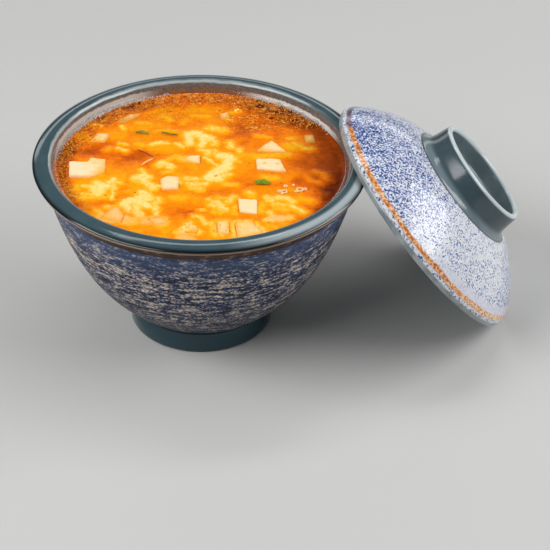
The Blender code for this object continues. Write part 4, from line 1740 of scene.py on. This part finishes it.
@dataclass
class FloatingFood:
    """The diced tofu and pale slices, each a soft-edged block cut by hand."""

    voxel: float = 0.45 * MM
    swell: float = 4 * MM  # size of a hump that the knife left
    unevenness: float = 0.7 * MM  # height of such humps
    pieces: list[bpy.types.Object] = field(default_factory=list)

    def build(self) -> None:
        """Shape every piece from its CAD block and dress it."""
        tofu = SoftFood("silken tofu", TOFU_SHADES).material()
        slices = SoftFood("pale cooked slices", SLICE_SHADES).material()
        for leans, material, slot in (
            (TOFU_LEANS, tofu, Slot.TOFU), (SLICE_LEANS, slices, Slot.SLICES)
        ):
            for name, lean in leans.items():
                piece = self.soft_block(name, lean)
                hand_in(piece, slot, material, name)
                self.pieces.append(piece)

    def soft_block(self, node: str, lean: Lean) -> bpy.types.Object:
        """A soft, slightly uneven copy of one CAD block.

        Args:
            node: the CAD node.
            lean: how the piece lies.

        Returns:
            The shaped piece.
        """
        piece = bpy.data.objects.new(node + "_food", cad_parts[node].data.copy())
        bpy.context.scene.collection.objects.link(piece)
        low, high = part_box(node)
        pivot = Vector(((low.x + high.x) / 2, (low.y + high.y) / 2, high.z))
        with editing(piece):
            bpy.ops.mesh.remove_doubles(threshold=SAME_PLACE)
            for axis, angle in (("X", lean.about_x), ("Y", lean.about_y)):
                bpy.ops.transform.rotate(
                    value=math.radians(angle), orient_axis=axis, center_override=pivot
                )
            bpy.ops.transform.translate(value=(0, 0, -lean.sink * MM))
        swell = bpy.data.textures.new(node + " swell", "CLOUDS")
        swell.noise_scale = self.swell
        modify(piece, "REMESH", mode="VOXEL", voxel_size=self.voxel, use_smooth_shade=True)
        modify(piece, "SMOOTH", iterations=lean.smoothing, factor=0.5)
        modify(
            piece,
            "DISPLACE",
            texture=swell,
            texture_coords="LOCAL",
            strength=self.unevenness,
            mid_level=0.5,
        )
        bpy.ops.object.shade_smooth()
        self.soak(piece, node, lean)
        return piece

    @staticmethod
    def soak(piece: bpy.types.Object, node: str, lean: Lean) -> None:
        """Store how far the cloudy broth hides each point of a piece.

        Args:
            piece: the shaped piece.
            node: the CAD node, whose upper side gives the outline.
            lean: how the piece lies.
        """
        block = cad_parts[node].data
        flat = [
            (round((vertex.co.x - BOWL_X) / MM, 3), round(vertex.co.y / MM, 3))
            for vertex in block.vertices
        ]
        edges: dict[frozenset[Point], int] = {}
        for face in block.polygons:
            if face.normal.z < 0.9:
                continue
            corners = [flat[i] for i in face.vertices]
            for pair in zip(corners, corners[1:] + corners[:1]):
                edges[frozenset(pair)] = edges.get(frozenset(pair), 0) + 1
        x, y = (points_of(piece)[:, :2] - (BOWL_X, 0)).T / MM
        inside = np.full_like(x, 99.0)
        for pair, uses in edges.items():
            if uses == 1 and len(pair) == 2:
                inside = np.minimum(inside, stroke_distance(x, y, tuple(pair)))
        store(piece, "haze", lean.haze_at(x, y, inside))
        store(piece, "stain", np.full_like(x, lean.stain))


@dataclass(frozen=True)
class Garnish:
    """Small wet garnish: cut leaves and strips, flakes, oil and froth, each of two shades."""

    name: str
    light: str
    dark: str
    fibre: float  # mm
    roughness: float = 0.3

    def material(self) -> bpy.types.Material:
        """Build the finish.

        Returns:
            The material.
        """
        tree = MaterialTree(self.name)
        place = tree.add("TexCoord")["Object"]
        fibres = tree.add(
            "TexNoise",
            {"Vector": place, "Scale": 1 / (self.fibre * MM), "Detail": 3.0, "Roughness": 0.6},
        )[0]
        share = tree.add("MapRange", (fibres, 0.35, 0.65))[0]
        colour = tree.add("MixRGB", (share, self.dark, self.light))[0]
        bump = tree.add("Bump", {"Height": fibres, "Strength": 0.4, "Distance": 0.1 * MM})[0]
        shader = tree.add(
            "BsdfPrincipled",
            {"Base Color": colour, "Roughness": self.roughness, "IOR": 1.4, "Normal": bump},
        )
        return tree.finish(shader["BSDF"])


@dataclass(frozen=True)
class Strip:
    """One thin strip: the line it follows, its width and its thickness, in millimetres."""

    name: str
    line: tuple[Place, ...]  # from the bowl's axis and over the broth
    width: float
    thickness: float
    finish: Garnish
    tip: float = 0.45  # width of its ends as a share of its middle


GREEN = Garnish("green of spring onion", "A8A21C", "60640A", 1.4)
BRIGHT_GREEN = Garnish("leaf of spring onion", "98B022", "42560A", 1.2)
DARK_STRIP = Garnish("wood ear mushroom", "AC560A", "6E3004", 1.6, 0.6)
PALE_STRIP = Garnish("bamboo shoot", "FFC98A", "F5A850", 1.2)

STRIPS = tuple(Strip(*row) for row in (
    ("green_sliver_1",
     ((-28.4, 33.4, 0.0), (-25.6, 33.4, 0.5), (-23.4, 32.2, 0.6), (-21.6, 30.6, 0.2)),
     2.2, 0.6, GREEN),
    ("green_sliver_2",
     ((-16.2, 32.6, 0.1), (-13.6, 30.6, 0.5), (-11.2, 29.3, 0.6), (-8, 28.8, 0.2)),
     1.2, 0.7, GREEN),
    ("green_leaf",
     ((23.0, -15.4, 0.0), (25.2, -15.8, 0.6), (27.6, -16.6, 0.7), (30.4, -17.8, 0.1)),
     4.6, 0.5, BRIGHT_GREEN),
    ("dark_strip",
     ((-28.6, 17.8, -0.1), (-26, 15.6, 0.25), (-23.4, 12.8, 0.25), (-21, 10.4, -0.1)),
     1.1, 0.5, DARK_STRIP),
    ("pale_strip",
     ((-27.6, 3.4, 0.1), (-25.4, 5.4, 0.45), (-23.2, 7.4, 0.45), (-21, 9.2, 0.15)),
     1.1, 0.5, PALE_STRIP),
))

BUBBLES: tuple[Spot, ...] = (
    (36.9, -20.4, 0.9), (35.8, -25.0, 1.5), (40.6, -19.8, 0.6), (43.0, -24.0, 1.8),
    (45.4, -23.8, 1.0), (33.6, -24.6, 0.8), (41.2, -25.4, 0.8), (34.6, -26.4, 0.6),
)
FOAM = Garnish("bubbles of froth", "FFE2B4", "FAC47C", 0.8, 0.25)
FROTH = Garnish("froth along the wall", "E4E0DC", "B8ACA4", 0.8, 0.12)
OIL = Garnish("beads of chilli oil", "FFB848", "C06A08", 3.0, 0.08)
CHILLI = Garnish("chilli flakes", "B04410", "7C2A08", 0.8, 0.6)


@dataclass
class Garnishes:
    """Spring onion, thin strips, bubbles and the beads of oil and froth along the wall."""

    seed: int = 5
    beads: int = 1300
    froth: int = 1150
    flakes: int = 46
    wall: float = 67.3  # mm, radius that the outermost bead has
    open_radius: float = 62.0  # mm, of the broth that the flakes float on
    # where the froth is thickest: the turn and half its width in degrees, and the share
    foam: tuple[tuple[float, float, float], ...] = ((136.0, 20.0, 1.0), (42.0, 17.0, 0.25))
    lift: float = 0.05  # mm, how high a bead sits in open broth
    climb: float = 1.8  # mm, how high beads climb at the wall
    meniscus: float = 0.5  # mm, how fast that falls off from the wall
    sizes: tuple[float, float] = (0.16, 0.42)  # mm, least and most radius of a bead

    def build(self) -> None:
        """Make every strip, then the bubbles, the froth, the beads and the chilli flakes."""
        for strip in STRIPS:
            hand_in(self.cut_strip(strip), Slot.BROTH, strip.finish.material())
        hand_in(self.blow_bubbles(), Slot.BROTH, FOAM.material())
        for name, count, place, flat, finish in (
            ("wall_froth", self.froth, self.at_the_wall, 0.8, FROTH),
            ("oil_beads", self.beads, self.by_the_wall, 0.7, OIL),
            ("chilli_flakes", self.flakes, self.anywhere, 0.35, CHILLI),
        ):
            hand_in(self.scatter(name, count, place, flat), Slot.BROTH, finish.material())

    @staticmethod
    def cut_strip(strip: Strip) -> bpy.types.Object:
        """Draw a small section along a line, and narrow it towards both ends.

        Args:
            strip: the strip's line and sizes.

        Returns:
            The strip.
        """
        deselect_all()
        bpy.ops.mesh.primitive_plane_add(size=2.0, rotation=(0, math.pi / 2, 0))
        piece = just_added(strip.name)
        settle(piece)
        with editing(piece):
            for _ in strip.line[1:]:
                bpy.ops.mesh.extrude_region_move(TRANSFORM_OT_translate={"value": (1, 0, 0)})
        line = [Vector(point) for point in strip.line]
        last = len(line) - 1
        for vertex in piece.data.vertices:
            station = min(max(round(vertex.co.x), 0), last)
            run = line[min(station + 1, last)] - line[max(station - 1, 0)]
            side = Vector((-run.y, run.x, 0)).normalized()
            along = math.sin(math.pi * (station + 0.35) / (last + 0.7))
            slim = strip.tip + (1 - strip.tip) * along
            place = line[station] + side * (math.copysign(strip.width / 2 * slim, vertex.co.y))
            place.z += math.copysign(strip.thickness / 2 * slim, vertex.co.z)
            vertex.co = place * MM + Vector((BOWL_X, 0, BROTH_LEVEL))
        with editing(piece):
            close_seams()
        modify(piece, "SUBSURF", levels=3, render_levels=3)
        bpy.ops.object.shade_smooth()
        return piece

    @staticmethod
    def blow_bubbles() -> bpy.types.Object:
        """Make one ring of froth for each bubble, where the film of the bubble meets the broth.

        Returns:
            The joined rings.
        """
        rings = []
        for x, y, radius in BUBBLES:
            deselect_all()
            bpy.ops.mesh.primitive_torus_add(
                location=(x * MM + BOWL_X, y * MM, BROTH_LEVEL + 0.12 * MM),
                major_radius=radius * 0.8 * MM,
                minor_radius=(0.18 + 0.12 * radius) * MM,
                major_segments=20,
                minor_segments=8,
            )
            ring = bpy.context.object
            settle(ring)
            rings.append(ring)
        whole = joined("froth_bubbles", rings)
        bpy.ops.object.shade_smooth()
        return whole

    @staticmethod
    def polar(radius: float, turn: float) -> Point:
        """The place at a radius and at a turn from +X in degrees."""
        return (radius * math.cos(math.radians(turn)), radius * math.sin(math.radians(turn)))

    def at_the_wall(self, dice: random.Random) -> Point:
        """A place right at the bowl's wall, on the far side to the left or the right.

        Args:
            dice: the seeded dice.

        Returns:
            The place, in millimetres from the bowl's axis.
        """
        while True:
            turn = dice.uniform(20, 180)
            if dice.random() < sum(most * bell(turn - at, half) for at, half, most in self.foam):
                return self.polar(self.wall - abs(dice.gauss(0, 0.6)), turn)

    def by_the_wall(self, dice: random.Random) -> Point:
        """A place near the bowl's wall, seldom in front.

        Args:
            dice: the seeded dice.

        Returns:
            The place, in millimetres from the bowl's axis.
        """
        while True:
            turn = dice.uniform(28, 212)
            radius = self.wall - 0.7 - abs(dice.gauss(0, 5.5))
            if turn < 160 or radius > 60:
                return self.polar(radius, turn)

    def anywhere(self, dice: random.Random) -> Point:
        """A place anywhere on the broth.

        Args:
            dice: the seeded dice.

        Returns:
            The place, in millimetres from the bowl's axis.
        """
        turn = dice.uniform(0, 360)
        return self.polar(self.open_radius * math.sqrt(dice.random()), turn)

    def scatter(
        self, name: str, count: int, place: Callable[[random.Random], Point], flat: float
    ) -> bpy.types.Object:
        """Copy one small bead many times over the broth.

        Args:
            name: the joined piece's name.
            count: how many beads.
            place: gives the place of the next bead.
            flat: height of a bead as a share of its width.

        Returns:
            The joined beads.
        """
        dice = random.Random(self.seed + count)
        deselect_all()
        bpy.ops.mesh.primitive_ico_sphere_add(subdivisions=1, radius=1.0)
        first = bpy.context.object
        bpy.ops.object.shade_smooth()
        copies = []
        for _ in range(count):
            x, y = place(dice)
            size = dice.uniform(*self.sizes) * MM
            copy = first.copy()
            copy.data = first.data.copy()
            spin = Matrix.Rotation(dice.uniform(0, 6.28), 4, "Z")
            stretch = Matrix.Diagonal((size, size * dice.uniform(0.6, 1), size * flat, 1))
            nearness = math.exp((math.hypot(x, y) - self.wall) / self.meniscus)
            height = self.lift + self.climb * nearness * dice.random()
            spot = Matrix.Translation((x * MM + BOWL_X, y * MM, BROTH_LEVEL + height * MM))
            copy.data.transform(spot @ spin @ stretch)
            bpy.context.scene.collection.objects.link(copy)
            copies.append(copy)
        bpy.data.objects.remove(first)
        return joined(name, copies)


# ---------------------------------------------------------------- studio


@dataclass(frozen=True)
class SoftBox:
    """One soft light: where it stands, its size and its power."""

    name: str
    place: Place
    size: Point
    watts: float


@dataclass
class Studio:
    """Pale floor, soft light and the camera at the photograph's angle."""

    azimuth: float = math.radians(-5.198)
    elevation: float = math.radians(33.598)
    roll: float = math.radians(1.015)
    distance: float = 1.177
    aim_height: float = 43 * MM
    aim_right: float = 34.754 * MM
    aim_up: float = -17.823 * MM
    sensor: float = 36.0  # mm
    lens: float = 163.64  # mm
    air_strength: float = 0.04
    floor_size: float = 8.0
    boxes: tuple[SoftBox, ...] = (
        SoftBox("overhead", (-0.05, 0.42, 1.22), (0.90, 0.22), 3.0),
        SoftBox("right box", (1.02, -0.16, 0.80), (1.20, 0.55), 12.5),
        SoftBox("left box", (-0.94, -0.34, 0.92), (1.30, 0.55), 14.5),
        SoftBox("back strip", (0.12, 1.15, 0.40), (1.60, 0.20), 1.8),
    )

    def build(self) -> None:
        """Set up the floor, the lights and the camera."""
        self.build_floor()
        for box in self.boxes:
            self.build_light(box)
        world = bpy.data.worlds.new("studio air")
        world.use_nodes = True
        air = world.node_tree.nodes["Background"].inputs
        air["Color"].default_value = linear("E8EEF4")
        air["Strength"].default_value = self.air_strength
        bpy.context.scene.world = world
        bpy.context.scene.view_settings.view_transform = "Standard"
        self.build_camera()

    def build_floor(self) -> None:
        """A wide, pale, faintly satin table top."""
        deselect_all()
        bpy.ops.mesh.primitive_plane_add(size=self.floor_size, location=(0, 0, 0))
        floor = bpy.context.object
        floor.name = "pale_floor"
        tree = MaterialTree("pale matt table top")
        place = tree.add("TexCoord")["Object"]
        tone = tree.add("TexNoise", {"Vector": place, "Scale": 3.0, "Detail": 2.0})[0]
        colour = tree.add("MixRGB", (tone, "C6C6C4", "CBCBC9"))[0]
        shader = tree.add("BsdfPrincipled", {"Base Color": colour, "Roughness": 0.6})
        floor.data.materials.append(tree.finish(shader["BSDF"]))

    @staticmethod
    def build_light(box: SoftBox) -> None:
        """Stand one soft light and point it at the bowl.

        Args:
            box: the light.
        """
        lamp = bpy.data.lights.new(box.name, "AREA")
        lamp.shape = "RECTANGLE"
        lamp.size, lamp.size_y = box.size
        lamp.energy = box.watts
        stand = bpy.data.objects.new(box.name, lamp)
        stand.location = box.place
        aim = Vector((0, 0, 50 * MM)) - Vector(box.place)
        stand.rotation_euler = aim.to_track_quat("-Z", "Y").to_euler()
        bpy.context.scene.collection.objects.link(stand)

    def build_camera(self) -> None:
        """Stand the camera where the photograph was taken from."""
        back = Vector(
            (
                math.sin(self.azimuth) * math.cos(self.elevation),
                -math.cos(self.azimuth) * math.cos(self.elevation),
                math.sin(self.elevation),
            )
        )
        right = Vector((math.cos(self.azimuth), math.sin(self.azimuth), 0.0))
        up = back.cross(right)
        aim = Vector((BOWL_X, 0.0, self.aim_height))
        place = aim + back * self.distance
        target = aim + right * self.aim_right + up * self.aim_up
        forward = (target - place).normalized()
        level_right = forward.cross(Vector((0, 0, 1))).normalized()
        level_up = level_right.cross(forward)
        cos, sin = math.cos(self.roll), math.sin(self.roll)
        own_right = cos * level_right + sin * level_up
        own_up = cos * level_up - sin * level_right
        lens = bpy.data.cameras.new("camera")
        lens.sensor_width = self.sensor
        lens.lens = self.lens
        camera = bpy.data.objects.new("camera", lens)
        turn = Matrix((own_right, own_up, -forward)).transposed().to_4x4()
        camera.matrix_world = Matrix.Translation(place) @ turn
        bpy.context.scene.collection.objects.link(camera)
        bpy.context.scene.camera = camera


def main() -> None:
    """Build every sub-assembly in order."""
    logging.basicConfig(level=logging.INFO, format="%(name)s: %(message)s")
    Bowl().build()
    Lid().build()
    food = FloatingFood()
    food.build()
    Broth().build(food.pieces)
    Garnishes().build()
    Studio().build()


if __name__ == "__main__":
    main()
